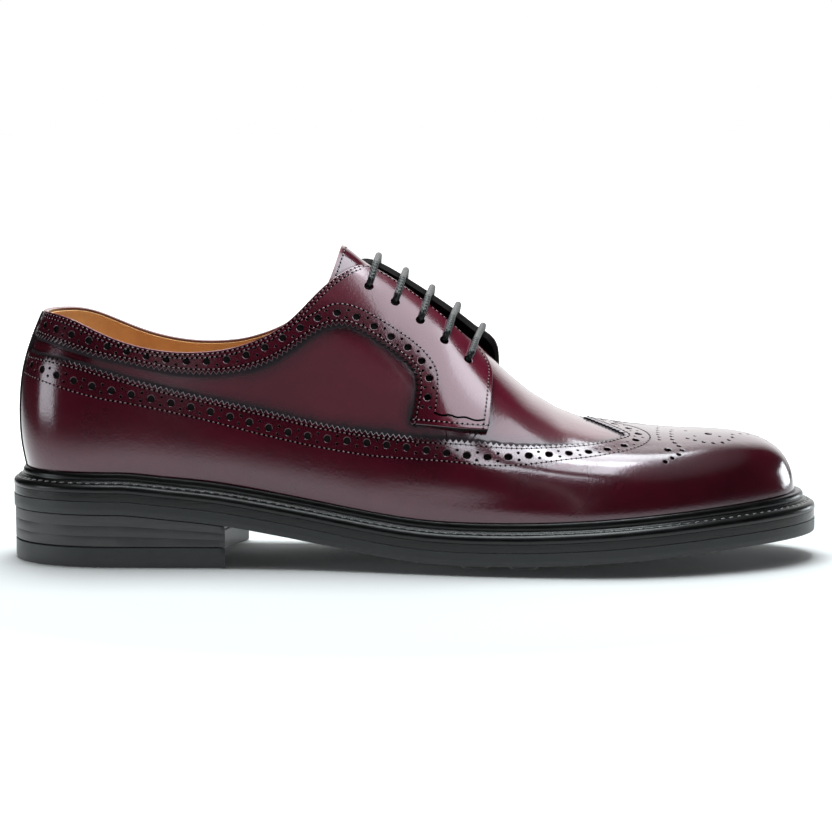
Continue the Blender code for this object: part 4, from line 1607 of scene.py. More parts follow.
def skin_tint(pattern):
    """A darker band beside the panels with a painted shadow line tight against their edges, darker before
    the facings' fronts, and painted near-black shade where the panels hide the leather.
    """
    burnish = np.zeros(len(pattern))
    for line in (WING_WHOLE, *GIMP_LINE.values()):
        # Painted shadow line tight against each panel edge, within a wider darker band
        burnish = np.maximum(burnish, burnished("panel_shadow_and_halo", clearance(pattern, line[::4])))
    for side in SIDES:
        front = flowing(placed(FACING_FRONT_EDGE, side), 160)
        burnish = np.maximum(burnish, burnished("before_facing", clearance(pattern, front)))
    # Leather hidden under the panels is painted near-black, as the shade seen down their holes
    hidden = inside(pattern, np.concatenate((
        feather_line("outer"), feather_line("inner")[::-1], *[part[::-3] for part in WING_LINE[::-1]],
    )))
    for side in SIDES:
        mine = (pattern[:, 1] < 0) == (side == "outer")
        hidden |= inside(pattern, facing_outline(side)) & mine
    return {"burnish": np.where(hidden, COVERED + 0.1, burnish), "edge": np.zeros(len(pattern))}


STRIP_HALF_WIDTH = 9.0
STRIP_LIFT = 1.0
STRIP_SHORT = 1.2
STRIP_SEAM_INSET = 1.4
STRIP_SEAM_ENDS = (2.5, 5.0)
STRIP_FRONT = BACK_SEAM + STRIP_HALF_WIDTH
STRIP_BURNISH = 0.55
STRIP_RIM_BURNISH = 0.6
STRIP_RIM = (0.6, 0.4)


def make_back_strip(rows=70, columns=17):
    """The narrow strip over the seam at the back of the heel."""
    top = float(FACING_EDGE["outer"][0]) - STRIP_SHORT / NETS["outer"][2][0]
    pattern = []
    for share in np.linspace(0.0, top, rows):
        for turn in np.linspace(-1, 1, columns):
            side = "outer" if turn < 0 else "inner"
            a = BACK_SEAM + abs(turn) * STRIP_HALF_WIDTH
            pattern.append((a, SIGN[side] * (1 - share) * girth_at(side, a)))
    pattern = np.array(pattern)
    face = lay(pattern, STRIP_LIFT)[0]
    back = lay(pattern, PANEL_FOOT)[0]
    points, faces, first = closed_leaf(face, back, rows, columns)
    aside = (pattern[first % len(pattern), 0] - BACK_SEAM) / STRIP_HALF_WIDTH
    burnish = STRIP_BURNISH + STRIP_RIM_BURNISH * coming_in(aside, *STRIP_RIM)
    values = {"burnish": burnish, "edge": np.zeros(len(points))}
    return add_piece("back_strip", points, faces, CALF, "burgundy_calf", values=values)


def sew_back_strip():
    """A row of stitches down each edge of the back strip."""
    rows = []
    a = STRIP_FRONT - STRIP_SEAM_INSET
    for side in SIDES:
        reach = girth_at(side, a)
        high = SIGN[side] * ((1 - FACING_EDGE[side][0]) * reach + STRIP_SEAM_ENDS[0])
        low = SIGN[side] * (reach - STRIP_SEAM_ENDS[1])
        rows.append(raised(paced(np.array(((a, high), (a, low))), STITCH_PITCH), even(STRIP_LIFT)))
    sew("back_strip", rows)


def tongue_place(share, x):
    """A place on the tongue: its pattern place and its depth under the last's face."""
    c = share * TONGUE_HALF_WIDTH
    side = "outer" if c < 0 else "inner"
    rim = abs(edge_line(side, np.array([x]))[0, 1])
    middle = max(0.0, 1 - (c / max(rim - TONGUE_CLEAR, 0.1)) ** 2)
    return (x, c), TONGUE_DEPTH - TONGUE_RAISE * middle * coming_in(x, *TONGUE_FREE)


def tongue_top(share):
    """Where the tongue's rounded top ends, by the share of its half width."""
    return TONGUE_TOP_SIDE + (TONGUE_TOP_MIDDLE - TONGUE_TOP_SIDE) * (1 - share**2)


def make_tongue(across=45, rows=60):
    """The tongue: a curved leaf under the throat, its top standing free."""
    placed_rows = []
    for share in np.linspace(-1, 1, across):
        for x in np.linspace(tongue_top(share), TONGUE_FRONT, rows):
            placed_rows.append(tongue_place(share, x))
    places, depths = (np.array(part) for part in zip(*placed_rows))
    face = lay(places, -depths)[0]
    back = lay(places, -depths - TONGUE_THICKNESS)[0]
    points, faces, first = closed_leaf(face, back, across, rows)
    count = len(places)
    top = (first % count % rows == 0).astype(float)
    values = {
        "burnish": np.where(first >= count, TONGUE_BACK_BURNISH, TONGUE_BURNISH),
        # Pale top rim of the tongue: the cut edge with a painted highlight
        "edge": top * TONGUE_RIM_HIGHLIGHT,
    }
    return add_piece("tongue_leaf", points, faces, CALF, "burgundy_calf", ("tongue",), values=values)


# Laces
def lace_path(x, out):
    """One bar of the lace: up through its eyelet, across the throat and down the far one."""
    shares = np.linspace(-1, 1, 61)
    bow = smooth_curve((-1.0, -0.45, 0.45, 1.0), (0.0, LACE_BOW, 0.0, 0.0))(shares)
    places = np.column_stack((x + bow, shares * out))
    over = facing_lift(places) + LACE_BED * LACE_RADIUS
    dive = coming_in(np.abs(shares), *LACE_DIVE)
    over = over - dive * (over + LACE_DIVE_DEPTH)
    points = lay(places, over)[0]
    between = np.nonzero(np.abs(places[:, 1]) < throat_gap(x) - 1.0)[0]
    first, last = between[0] - 1, between[-1] + 1
    part = ((between - first) / (last - first))[:, None]
    points[between] = points[first] * (1 - part) + points[last] * part
    return points


def tube(path, radius, sides):
    """Points of a round tube along a path, ring by ring."""
    run = unit(np.gradient(path, axis=0))
    across = unit(np.cross(run, (1.0, 0.0, 0.0)))
    lift = np.cross(across, run)
    turn = np.linspace(0, 2 * np.pi, sides, endpoint=False)
    rings = [path + radius * (np.cos(t) * across + np.sin(t) * lift) for t in turn]
    return np.stack(rings, axis=1)


def make_laces(sides=14):
    """All bars of the lace in one piece, with a map along and round them for the braid."""
    points = []
    faces = []
    runs = []
    for x, out in EYELETS[1:]:
        path = lace_path(x, out)
        rings = tube(path, LACE_RADIUS, sides)
        start = sum(map(len, points))
        points.append(rings.reshape(-1, 3))
        count = len(path)
        faces.extend(quads(count, sides, start, closed_columns=True).tolist())
        faces.append(list(range(start, start + sides)))
        faces.append(list(range(start + (count - 1) * sides, start + count * sides))[::-1])
        runs.append(np.repeat(arc_lengths(path), sides))
    lace = add_piece(
        "lace_bars", np.concatenate(points), faces, LACE, "black_cord",
        [f"lace_bar_{k}" for k in range(1, len(EYELETS))], crisp=60,
    )
    mesh = lace.data
    layer = mesh.uv_layers.new(name="lace_run")
    along = np.concatenate(runs)
    corner = np.zeros(len(mesh.loops), int)
    mesh.loops.foreach_get("vertex_index", corner)
    u = along[corner]
    v = (corner % sides).astype(float)
    owner = np.repeat(np.arange(len(mesh.polygons)), [p.loop_total for p in mesh.polygons])
    low = np.full(len(mesh.polygons), 99.0)
    high = np.zeros(len(mesh.polygons))
    np.minimum.at(low, owner, v)
    np.maximum.at(high, owner, v)
    wraps = (high - low)[owner] > sides / 2
    v = np.where(wraps & (v < sides / 2), v + sides, v) * (2 * np.pi * LACE_RADIUS / sides)
    layer.data.foreach_set("uv", np.column_stack((u, v)).ravel())
    body = bmesh.new()
    body.from_mesh(mesh)
    bmesh.ops.recalc_face_normals(body, faces=body.faces)
    body.to_mesh(mesh)
    body.free()
    return lace


# The sole, layer by layer
def sole_edge(side, stations, set_back=0.0):
    """Plan points of one edge of the sole, set back by a margin."""
    stretch = (SOLE_LENGTH - 2 * set_back) / SOLE_LENGTH
    half = SOLE_HALF[side](stations) * sole_round(stations)
    half = half * (1 - set_back / SOLE_HALF[side](stations))
    return np.column_stack((set_back + stations * stretch, AXIS(stations) + SIGN[side] * half))


def resampled(points, count):
    """Points at equal steps along a line."""
    length = arc_lengths(points)
    steps = np.linspace(0, length[-1], count)
    return np.column_stack([np.interp(steps, length, points[:, k]) for k in range(points.shape[1])])


def sole_ring(set_back=0.0, half_count=240):
    """The sole's outline as a closed ring, from the toe along the outer side to the heel and back."""
    turn = np.linspace(0, np.pi / 2, 200)
    heel = HEEL_CENTRE * (1 - np.cos(turn))
    body = np.linspace(HEEL_CENTRE, TOE_PLAN_START, 200)[1:-1]
    toe = TOE_PLAN_START + (SOLE_LENGTH - TOE_PLAN_START) * np.sin(turn)
    stations = np.concatenate((heel, body, toe))[::-1]
    outer = resampled(sole_edge("outer", stations, set_back), half_count + 1)
    inner = resampled(sole_edge("inner", stations, set_back), half_count + 1)
    return np.concatenate((outer, inner[::-1][1:-1]))


def ring_normals(ring):
    run = np.roll(ring, -1, axis=0) - np.roll(ring, 1, axis=0)
    normal = unit(np.column_stack((run[:, 1], -run[:, 0])))
    middle = ring.mean(axis=0)
    return normal * np.sign(np.sum(np.sum(normal * (ring - middle), axis=1)))


def swept(ring, section, floor):
    """An edge section swept round a ring, row by row. Section rows give how far out of the ring
    and how high over the floor function."""
    grid = []
    for out, up in section:
        plan = ring + ring_normals(ring) * out
        grid.append(np.column_stack((plan, floor(plan[:, 0], up))))
    return grid


def make_sole_layer(name, ring, section, floor, material, slot, stands_for, crown=None, across=12):
    """A sole layer: its edge section swept round a ring, with a lower and an upper face."""
    count = len(ring)
    half = count // 2
    grid = swept(ring, section, floor)
    points = [np.concatenate(grid)]
    faces = quads(len(section), count, closed_columns=True).tolist()
    for level in (0, len(section) - 1):
        edge = grid[level]
        start = sum(map(len, points))
        left = edge[: half + 1]
        right = edge[np.r_[0, count - 1 : half - 1 : -1]]
        shares = np.linspace(0, 1, across + 1)
        face = left[:, None, :] + (right - left)[:, None, :] * shares[None, :, None]
        if crown is not None and level == 0:
            face[:, :, 2] -= crown(face[:, :, 0]) * (1 - (2 * shares - 1) ** 2)[None, :]
        points.append(face.reshape(-1, 3))
        faces.extend(quads(half + 1, across + 1, start).tolist())
    points, faces, _ = welded(np.concatenate(points), faces)
    return add_piece(name, points, faces, material, slot, stands_for)


def inside_sole(x):
    return np.clip(x, 0, SOLE_LENGTH)


def over_bottom(x, up):
    return SOLE_BOTTOM(inside_sole(x)) + up


def tread_crown(x):
    return TREAD_CROWN * SOLE_CROWN(inside_sole(x))


OUTSOLE_SECTION = ((-0.6, 0.0), (-0.15, 0.1), (0.0, 0.4), (0.05, 2.5), (0.05, 4.85), (-0.12, 5.0))
MIDSOLE_SECTION = ((0.2, 5.0), (0.36, 5.12), (0.4, 6.6), (0.36, 8.13), (0.2, 8.25))
HEEL_SHARES = (
    ("out", "share"),
    (-0.15, 0.0),
    (0.0, 0.02),
    (0.02, 0.31),
    (-0.04, 0.325),
    (0.02, 0.34),
    (0.02, 0.64),
    (-0.04, 0.655),
    (0.02, 0.67),
    (0.0, 0.98),
    (-0.15, 1.0),
)
LIFT_SECTION = ((-0.7, 0.0), (-0.2, 0.15), (0.0, 0.7), (0.02, 4.0), (0.0, 7.3), (-0.3, 7.7))


def heel_ring(half_count=90, breast_count=30):
    """Outline of the heel, closed by its hollowed breast."""
    turn = np.linspace(0, np.pi / 2, 120)
    back = HEEL_CENTRE * (1 - np.cos(turn))
    stations = np.concatenate((back, np.linspace(HEEL_CENTRE, HEEL_BREAST_X, 40)[1:]))
    outer = resampled(sole_edge("outer", stations, HEEL_SET_BACK), half_count + 1)[::-1]
    inner = resampled(sole_edge("inner", stations, HEEL_SET_BACK), half_count + 1)
    shares = np.linspace(0, 1, breast_count + 1)[1:-1]
    hollow = HEEL_BREAST_HOLLOW * (1 - (2 * shares - 1) ** 2)
    breast = inner[-1] + (outer[0] - inner[-1]) * shares[:, None]
    breast[:, 0] -= hollow
    return np.concatenate((outer, inner[1:], breast))


def make_heel_piece(name, section, floor, material, slot, stands_for):
    """One part of the heel: its section swept round the outline, closed below and above."""
    ring = heel_ring()
    count = len(ring)
    faces = quads(len(section), count, closed_columns=True).tolist()
    faces.append(list(range(count)))
    faces.append(list(range((len(section) - 1) * count, len(section) * count)))
    points, faces, _ = welded(np.concatenate(swept(ring, section, floor)), faces)
    return add_piece(name, points, faces, material, slot, stands_for, crisp=32)


def stack_floor(x, share):
    low = TOP_LIFT_HEIGHT + GAP
    return low + share * (SOLE_BOTTOM(inside_sole(x)) - GAP / 2 - low)


def lift_floor(x, up):
    return np.full(len(x), up)


WELT_SECTION = (
    ("across", "up"),
    (0.985, 0.0),
    (1.0, 0.15),
    (1.0, 1.2),
    (0.985, 1.7),
    (0.95, 2.15),
    (0.88, 2.6),
    (0.80, 3.0),
    (0.74, 3.2),
    (0.69, 3.15),
    (0.61, 3.35),
    (0.56, 3.75),
    (0.50, 4.1),
    (0.45, 4.2),
    (0.43, 4.4),
    (0.45, 5.0),
    (0.43, 5.9),
    (0.36, 6.7),
    (0.24, 7.1),
    (0.10, 6.9),
    (-0.06, 5.4),
    (-0.1, 0.0),
)
WELT_SEAM = 0.66
WELT_SEAM_HEIGHT = 3.35
WELT_MEETS_WALL = 4.0


def welt_rows(span=9):
    """The sole's ring, and the nearest place of the upper's wall to each of its points, evened
    out over a span of points."""
    ring = sole_ring()
    wall = []
    for side in SIDES:
        net = NETS[side][0][::2]
        rise = net[:, :, 2] - net[:, :1, 2]
        for points, up in zip(net, rise):
            wall.append([np.interp(WELT_MEETS_WALL, up, points[:, k]) for k in (0, 1)])
    wall = np.array(wall)
    away = ring[:, None, :] - wall[None, :, :]
    near = wall[np.argmin(np.sum(away * away, axis=2), axis=1)]
    reach = np.linalg.norm(ring - near, axis=1)
    padded = np.concatenate((reach[-span:], reach, reach[:span]))
    weights = np.hanning(2 * span + 1)
    reach = np.convolve(padded, weights / weights.sum(), "valid")
    return ring, ring - ring_normals(ring) * reach[:, None]


def make_welt():
    """The storm welt: a flat strip with a stitched groove and a lip raised against the upper."""
    ring, wall = welt_rows()
    floor = bed_z(inside_sole(ring[:, 0]))
    grid = []
    for across, up in WELT_SECTION[1:]:
        plan = wall + (ring - wall) * across
        grid.append(np.column_stack((plan, floor + up)))
    count = len(ring)
    rows = len(WELT_SECTION) - 1
    faces = quads(rows, count, closed_rows=True, closed_columns=True).tolist()
    points, faces, _ = welded(np.concatenate(grid), faces)
    return add_piece("storm_welt", points, faces, DARK_LEATHER, "black_edge_leather", ("welt",), crisp=50)


# Stitches and studs, set along their lines by Geometry Nodes
BEAD_SIZES = ("Bead Length", "Bead Width", "Bead Height")


def repeat_tree():
    """Copies of a rounded bead set on points, turned to the run and the face of each."""
    tree = bpy.data.node_groups.new("set_along_a_line", "GeometryNodeTree")
    face = tree.interface
    face.new_socket("Geometry", in_out="INPUT", socket_type="NodeSocketGeometry")
    for label in BEAD_SIZES:
        face.new_socket(label, in_out="INPUT", socket_type="NodeSocketFloat")
    face.new_socket("Rings", in_out="INPUT", socket_type="NodeSocketInt")
    face.new_socket("Finish", in_out="INPUT", socket_type="NodeSocketMaterial")
    face.new_socket("Geometry", in_out="OUTPUT", socket_type="NodeSocketGeometry")
    given = node(tree, "NodeGroupInput").outputs
    size = node(tree, "ShaderNodeCombineXYZ", {
        "X": given["Bead Length"], "Y": given["Bead Width"], "Z": given["Bead Height"],
    }).outputs[0]
    values = {"Segments": 6, "Rings": given["Rings"], "Radius": 0.5}
    bead = node(tree, "GeometryNodeMeshUVSphere", values).outputs[0]
    values = {"Geometry": bead, "Rotation": (0.0, np.pi / 2, 0.0)}
    lying = node(tree, "GeometryNodeTransform", values).outputs[0]
    bead = node(tree, "GeometryNodeTransform", {"Geometry": lying, "Scale": size}).outputs[0]
    turned = None
    for name, axis, pivot in (("run", "X", "AUTO"), ("face", "Z", "X")):
        kept = node(tree, "GeometryNodeInputNamedAttribute", {"Name": name}, data_type="FLOAT_VECTOR")
        values = {"Vector": kept.outputs[0]}
        if turned:
            values["Rotation"] = turned
        align = node(tree, "FunctionNodeAlignRotationToVector", values, axis=axis, pivot_axis=pivot)
        turned = align.outputs[0]
    values = {"Points": given["Geometry"], "Instance": bead, "Rotation": turned}
    copies = node(tree, "GeometryNodeInstanceOnPoints", values).outputs[0]
    solid = node(tree, "GeometryNodeRealizeInstances", {"Geometry": copies}).outputs[0]
    smooth = node(tree, "GeometryNodeSetShadeSmooth", {"Geometry": solid}).outputs[0]
    values = {"Geometry": smooth, "Material": given["Finish"]}
    finished = node(tree, "GeometryNodeSetMaterial", values).outputs[0]
    node(tree, "NodeGroupOutput", {"Geometry": finished})
    return tree


REPEAT = repeat_tree()


def set_beads(name, rows, size, finish, rings=5):
    """One piece of beads: rows hold points, runs and face normals in table millimetres."""
    points, runs, faces = (np.concatenate(part) for part in zip(*rows))
    mesh = bpy.data.meshes.new(name)
    mesh.from_pydata(in_model(points).tolist(), [], [])
    for key, vectors in (("run", runs), ("face", faces)):
        layer = mesh.attributes.new(key, "FLOAT_VECTOR", "POINT")
        layer.data.foreach_set("vector", np.asarray(vectors, np.float32).ravel())
    piece = bpy.data.objects.new(name, mesh)
    bpy.context.collection.objects.link(piece)
    setting = piece.modifiers.new("beads", "NODES")
    setting.node_group = REPEAT
    sockets = {s.name: s.identifier for s in REPEAT.interface.items_tree if s.in_out == "INPUT"}
    for label, value in zip(BEAD_SIZES, size):
        setting[sockets[label]] = value * MM
    setting[sockets["Rings"]] = rings
    setting[sockets["Finish"]] = finish
    graph = bpy.context.evaluated_depsgraph_get()
    made = bpy.data.meshes.new_from_object(piece.evaluated_get(graph))
    made.name = name
    piece.modifiers.remove(setting)
    piece.data = made
    bpy.data.meshes.remove(mesh)
    for key in ("run", "face"):
        if key in made.attributes:
            made.attributes.remove(made.attributes[key])
    return register(piece)


def stitch_row(ends, normal):
    """Stitches between their ends: the middle of each, with its run and face."""
    middle = (ends[1:] + ends[:-1]) / 2
    run = ends[1:] - ends[:-1]
    return middle, run, unit(normal[1:] + normal[:-1])


def needle_row(ends, normal):
    """The pricked holes at the ends of the stitches."""
    return ends, np.gradient(ends, axis=0), normal


def sew(name, rows, seams=()):
    """A piece of stitches along rows of ends and normals, and one of the holes between them.
    Seams are rows of close marks without stitches."""
    stitches = [stitch_row(*row) for row in rows]
    set_beads(f"{name}_stitches", stitches, STITCH_SIZE, UPPER_THREAD)
    marks = [needle_row(*row) for row in (*rows, *seams)]
    # The needle holes are flat near-black marks: painted shade in the holes
    set_beads(f"{name}_needle_holes", marks, NEEDLE_HOLE, NEEDLE_HOLE_SHADE, rings=3)


def stitched(line, lift, pitch=STITCH_PITCH):
    """Stitch ends along a pattern line."""
    places = paced(line, pitch)
    return raised(places[places[:, 0] > STRIP_FRONT], lift)


def sew_wing():
    """Two rows along the wing, above and below its punched band."""
    rows = [stitched(beside(part, -WING_SEAM_INSET), wing_lift) for part in WING_LINE]
    rows.append(stitched(WING_SEAM_LINE, wing_lift))
    sew("wing", rows)


def sew_facings():
    """The rows of both facings, and the close seams of the tab and of the vamp under it."""
    rows = []
    seams = []
    joins = []
    for side in SIDES:
        front = placed(FACING_FRONT_EDGE, side)
        edges = (
            ("gimped", -1, GIMP_LINE[side]),
            ("collar", 1, edge_line(side, np.linspace(-12, 134, 400))),
            ("rim", 1, edge_line(side, np.linspace(-12, 173, 500))),
            ("nose", -1, flowing(front[HEM_ROWS - 1 :], 200)),
            ("hem", -1, flowing(front[:HEM_ROWS], 80)),
        )
        lines = [beside(line, way * SIGN[side] * FACING_SEAM_INSETS[name]) for name, way, line in edges]
        lines.insert(1, line_of(FACING_FAR_SEAM, side))
        rows.extend(stitched(line, facing_lift) for line in lines)
        seams.append(stitched(line_of(TAB_SEAM, side), facing_lift, SEAM_PITCH))
        joins.append(needle_row(*stitched(line_of(VAMP_SEAM, side), skin_lift, SEAM_PITCH)))
    sew("facing", rows, seams)
    # The close seams of the vamp: rows of the same near-black marks, painted shade in their needle holes
    set_beads("vamp_seams", joins, JOIN_MARK, NEEDLE_HOLE_SHADE, rings=3)


def sew_tongue():
    """A row of stitches just inside the tongue's free edge."""
    rows = []
    for share in np.linspace(-0.95, 0.95, 160):
        place, depth = tongue_place(share, tongue_top(share) + TONGUE_SEAM_INSET)
        rows.append(np.concatenate(lay(np.array([place]), -depth), axis=1)[0])
    rows = np.array(rows)
    length = arc_lengths(rows[:, :3])
    steps = np.arange(1.0, length[-1] - 1.0, STITCH_PITCH)
    rows = np.column_stack([np.interp(steps, length, row) for row in rows.T])
    sew("tongue", [(rows[:, :3], rows[:, 3:])])


def sew_welt():
    """The heavy stitches in the welt's groove, each lying a little askew."""
    ring, wall = welt_rows()
    line = wall + (ring - wall) * WELT_SEAM
    line = np.concatenate((line, line[:1]))
    count = int(round(arc_lengths(line)[-1] / WELT_STITCH_PITCH))
    line = resampled(line, count + 1)[:-1]
    run = np.roll(line, -1, axis=0) - np.roll(line, 1, axis=0)
    height = bed_z(inside_sole(line[:, 0])) + WELT_SEAM_HEIGHT
    points = np.column_stack((line, height))
    run = unit(np.column_stack((run, 2 * np.gradient(height))))
    up = np.repeat([[0.0, 0.0, 1.0]], count, axis=0)
    run = run + np.cross(up, run) * WELT_STITCH_SLANT
    rows = [(points, run, up)]
    return set_beads("welt_stitches", rows, WELT_STITCH_SIZE, WELT_THREAD)


def make_studs(sides=20):
    """Round rubber studs under the forefoot, let into the sole."""
    points = []
    faces = []
    for x, count, spread in STUDS[1:]:
        for y in np.linspace(-spread, spread, count):
            half = SOLE_HALF["outer" if y < 0 else "inner"](x) * sole_round(x)
            under = SOLE_BOTTOM(x) - TREAD_CROWN * SOLE_CROWN(x) * (1 - (y / half) ** 2)
            floor = under - STUD_HEIGHT if under > STUD_HEIGHT + STUD_CLEAR else 0.0
            start = len(points)
            rings = (
                (STUD_RADIUS, under + STUD_ROOT),
                (STUD_RADIUS - 0.3, floor + 0.5),
                (STUD_RADIUS - 0.8, floor),
            )
            for radius, z in rings:
                for turn in np.linspace(0, 2 * np.pi, sides, endpoint=False):
                    points.append((x + radius * np.cos(turn), AXIS(x) + y + radius * np.sin(turn), z))
            faces.extend(quads(len(rings), sides, start, closed_columns=True).tolist())
            faces.append(list(range(start, start + sides)))
            faces.append(list(range(start + 2 * sides, start + 3 * sides)))
    points, faces, _ = welded(np.array(points), faces)
    return add_piece("sole_studs", points, faces, RUBBER, "sole_rubber")


# Floor, light and camera
LAMP_COLOUR = (0.90, 0.98, 1.0)
WING = ("wing", "wing_stitches", "wing_needle_holes")
SIDE_WALLS = WING + ("storm_welt", "welt_stitches", "outsole_plate", "midsole_edge", "floor")
QUARTERS = ("vamp_and_quarters",)
FRONT_WALLS = SIDE_WALLS + QUARTERS
LAMPS = (
    ("name", "place", "target", "long_axis", "size", "power", "only_on", "flagged_from"),
    ("over_softbox", (-0.05, 0.30, 1.05), (0.03, 0.05, 0.05), (1.0, 0.0, 0.0),
     (0.75, 0.80), 15.0, (), ()),
    ("wing_panel", (0.24, -0.19, 1.04), (0.24, -0.19, 0.0), (0.0, 1.0, 0.0),
     (0.78, 0.14), 3.9, WING, ()),
    ("wing_strip", (0.015, -1.15, 1.04), (0.015, -1.15, 0.0), (-0.27, -0.5, 0.0),
     (0.62, 0.16), 3.0, WING, ()),
    ("front_panel", (0.0, -1.4, 0.6), (0.0, 0.0, 0.06), (1.0, 0.0, 0.0),
     (1.6, 0.9), 1.3, QUARTERS, ()),
    ("side_panel", (0.405, -0.42, 1.05), (0.405, -0.42, 0.0), (0.0, 1.0, 0.0),
     (1.25, 0.43), 7.3, (), SIDE_WALLS),
    ("toe_softbox", (0.87, -0.28, 1.05), (0.87, -0.28, 0.0), (0.0, 1.0, 0.0),
     (1.1, 0.5), 13.0, (), FRONT_WALLS),
    ("heel_box", (-1.09, -0.31, 0.10), (-0.13, -0.02, 0.05), (0.3, -1.0, 0.0),
     (0.42, 0.34), 1.9, (), ()),
    ("toe_box", (0.95, 0.72, 0.12), (0.14, 0.0, 0.03), (0.75, -0.65, 0.0),
     (0.42, 0.34), 3.0, (), ()),
)
WHITE = (1.0, 1.0, 1.0)
FLOOR_REACH = 12.0
FLOOR_PALE = 0.9
FLOOR_BOUNCE = 0.5
# Distances in metres and the floor's levels there: the painted pool of light that the shoe sees, and the
# glow that the camera sees
FLOOR_POOL = ((0.22, 0.55), (0.8, 0.03))
FLOOR_GLOW = ((0.2, 0.5), (0.0, 1.0))
POOL_REACH_BEHIND = 0.6
# Light of the room by direction: across the back, up the back, overhead and the back's top
BACK_WIDTH = ((0.3, 0.7), (1.0, 0.0))
BACK_RISE = ((0.0, 0.6), (1.1, 2.0))
OVERHEAD = ((0.70, 0.97), (0.01, 0.45))
BACK_TOP = ((0.62, 0.74), (1.0, 0.3))


def camera_sees(tree):
    return node(tree, "ShaderNodeLightPath").outputs["Is Camera Ray"]


def make_floor():
    """A pale floor. The shoe sees a painted pool of light on it, fading away to the front as on a table
    in a dark room, and glowing back at it. The camera sees it pale, glowing white further out.
    """
    mesh = bpy.data.meshes.new("floor")
    corners = ((-1, -1), (1, -1), (1, 1), (-1, 1))
    mesh.from_pydata([(x * FLOOR_REACH, y * FLOOR_REACH, 0) for x, y in corners], [], [(0, 1, 2, 3)])
    floor = bpy.data.objects.new("floor", mesh)
    bpy.context.collection.objects.link(floor)
    material, tree, shader = new_finish("white_floor")
    seen = camera_sees(tree)
    place = object_place(tree)
    away = node(tree, "ShaderNodeVectorMath", {0: place}, operation="LENGTH").outputs["Value"]
    behind = math(tree, "MAXIMUM", node(tree, "ShaderNodeSeparateXYZ", {"Vector": place}).outputs["Y"])
    # Painted pool of light: the floor's colour fades with distance for all but the camera
    pool = mapped(tree, varied(tree, away, -POOL_REACH_BEHIND, behind), *FLOOR_POOL)
    glow = mapped(tree, away, *FLOOR_GLOW)
    paler = math(tree, "SUBTRACT", FLOOR_PALE, pool)
    level = math(tree, "ADD", pool, math(tree, "MULTIPLY", seen, paler))
    # The floor glows back at the shoe with painted bounce light, and glows white for the camera further
    # out
    bounce = math(tree, "MULTIPLY", level, FLOOR_BOUNCE)
    bounce = math(tree, "MULTIPLY", varied(tree, 1.0, -1.0, seen), bounce)
    shine = math(tree, "ADD", bounce, math(tree, "MULTIPLY", seen, glow))
    set_shader(
        tree, shader, Base_Color=grey(tree, level), Emission_Color=grey(tree, shine),
        Emission_Strength=1.0, Roughness=0.9, Specular_IOR_Level=0.0,
    )
    mesh.materials.append(material)


def make_room():
    """A plain white surround. The shoe sees a dim room with a lit back wall."""
    world = bpy.data.worlds.new("studio")
    bpy.context.scene.world = world
    world.use_nodes = True
    tree = world.node_tree
    way = node(tree, "ShaderNodeTexCoord").outputs["Generated"]
    split = node(tree, "ShaderNodeSeparateXYZ", {"Vector": way}).outputs
    ahead = math(tree, "MAXIMUM", split["Y"], 0.02)
    aside = math(tree, "DIVIDE", math(tree, "ABSOLUTE", split["X"]), ahead)
    back = math(tree, "MULTIPLY", mapped(tree, aside, *BACK_WIDTH), mapped(tree, split["Z"], *BACK_RISE))
    back = math(tree, "MULTIPLY", back, mapped(tree, split["Z"], *BACK_TOP))
    level = math(tree, "MAXIMUM", back, mapped(tree, split["Z"], *OVERHEAD))
    shade = blended(tree, camera_sees(tree), grey(tree, level), WHITE)
    tree.links.new(shade, tree.nodes["Background"].inputs["Color"])


def make_lamps():
    """Soft lights above, behind and at the ends. Some light only a few pieces, or leave some out,
    as flags do in a studio."""
    for name, place, target, long_axis, size, power, only_on, flagged_from in LAMPS[1:]:
        light = bpy.data.lights.new(name, "AREA")
        light.shape = "RECTANGLE"
        light.size, light.size_y = size
        light.energy = power
        light.color = LAMP_COLOUR
        lamp = bpy.data.objects.new(name, light)
        outward = (Vector(place) - Vector(target)).normalized()
        across = outward.cross(Vector(long_axis)).normalized()
        turn = Matrix((across.cross(outward), across, outward)).transposed()
        lamp.matrix_world = Matrix.Translation(Vector(place)) @ turn.to_4x4()
        bpy.context.collection.objects.link(lamp)
        if only_on or flagged_from:
            lit = bpy.data.collections.new(f"{name}_lights")
            for piece in bpy.context.collection.objects:
                wanted = piece.name in only_on or not only_on
                if piece.type == "MESH" and wanted and piece.name not in flagged_from:
                    lit.objects.link(piece)
            lamp.light_linking.receiver_collection = lit


# The camera, in table millimetres and degrees
CAMERA_TARGET = np.array((155.6, 0.0, 53.7))
CAMERA_YAW = 4.0
CAMERA_AWAY = 1115.0
CAMERA_HEIGHT = 176.0
CAMERA_ROLL = -0.3
CAMERA_LENS = 126.56
CAMERA_SENSOR = 36.0


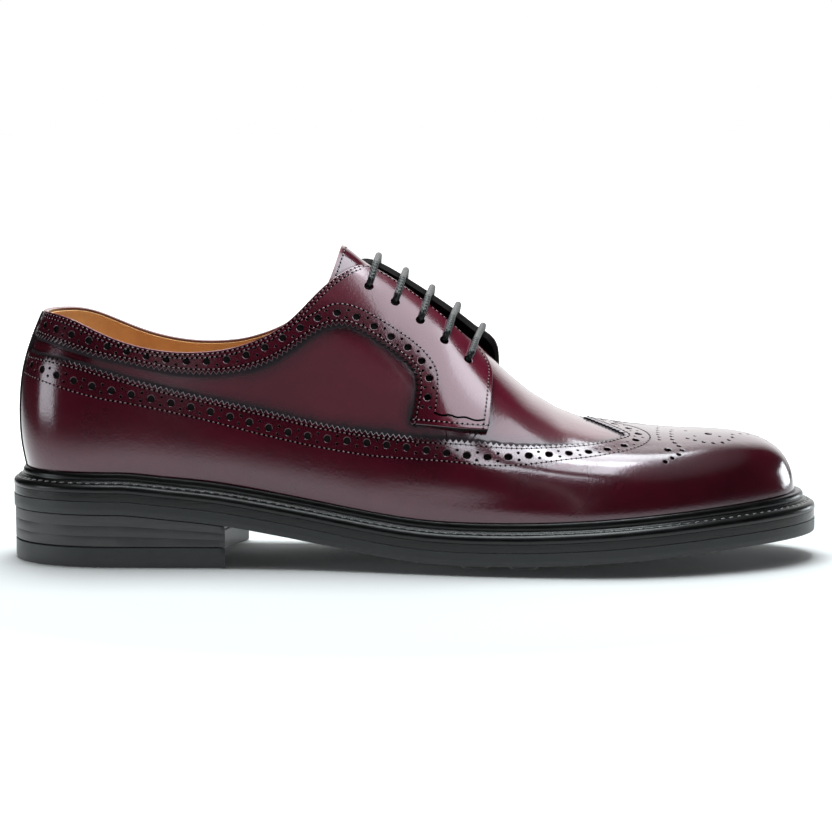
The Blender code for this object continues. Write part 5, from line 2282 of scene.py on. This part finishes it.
def make_camera():
    """The camera at the photograph's viewing angle."""
    yaw = np.radians(CAMERA_YAW)
    roll = np.radians(CAMERA_ROLL)
    place = CAMERA_TARGET + (CAMERA_AWAY * np.sin(yaw), -CAMERA_AWAY * np.cos(yaw), 0.0)
    place[2] = CAMERA_HEIGHT
    ahead = unit(CAMERA_TARGET - place)
    right = unit(np.cross(ahead, (0.0, 0.0, 1.0)))
    up = np.cross(right, ahead)
    right, up = right * np.cos(roll) + up * np.sin(roll), up * np.cos(roll) - right * np.sin(roll)
    data = bpy.data.cameras.new("camera")
    data.lens = CAMERA_LENS
    data.sensor_width = CAMERA_SENSOR
    camera = bpy.data.objects.new("camera", data)
    bpy.context.collection.objects.link(camera)
    turn = Matrix(np.column_stack((right, up, -ahead)).tolist()).to_4x4()
    camera.matrix_world = Matrix.Translation(Vector(in_model(place))) @ turn
    bpy.context.scene.camera = camera


# The whole shoe, piece by piece
make_camera()
bpy.context.scene.view_settings.view_transform = "Standard"
make_shell(
    "vamp_and_quarters", skin_lift, even(SKIN_BACK), SKIN_EDGE,
    CALF, "burgundy_calf", skin_tint, stands_for=("upper",),
)
make_shell(
    "lining", even(LINING_LIFT), even(LINING_BACK), LINING_EDGE, TAN, "tan_leather", None, rows=40,
)
make_wing()
for facing_side in SIDES:
    make_facing(facing_side)
make_back_strip()
make_tongue()
make_laces()
make_welt()
make_sole_layer(
    "outsole_plate", sole_ring(), OUTSOLE_SECTION, over_bottom,
    RUBBER, "sole_rubber", ("outsole",), tread_crown,
)
make_sole_layer(
    "midsole_edge", sole_ring(MIDSOLE_SET_BACK), MIDSOLE_SECTION, over_bottom,
    DARK_LEATHER, "black_edge_leather", ("midsole",),
)
make_heel_piece(
    "heel_layers", HEEL_SHARES[1:], stack_floor, HEEL_LEATHER, "black_edge_leather", ("heel_stack",),
)
make_heel_piece("heel_lift", LIFT_SECTION, lift_floor, RUBBER, "sole_rubber", ("heel_top_lift",))
make_studs()
sew_wing()
sew_facings()
sew_tongue()
sew_back_strip()
sew_welt()
make_floor()
make_room()
make_lamps()
for insole_slot in frame["nodes"]["insole"].material_slots:
    insole_slot.material = TAN
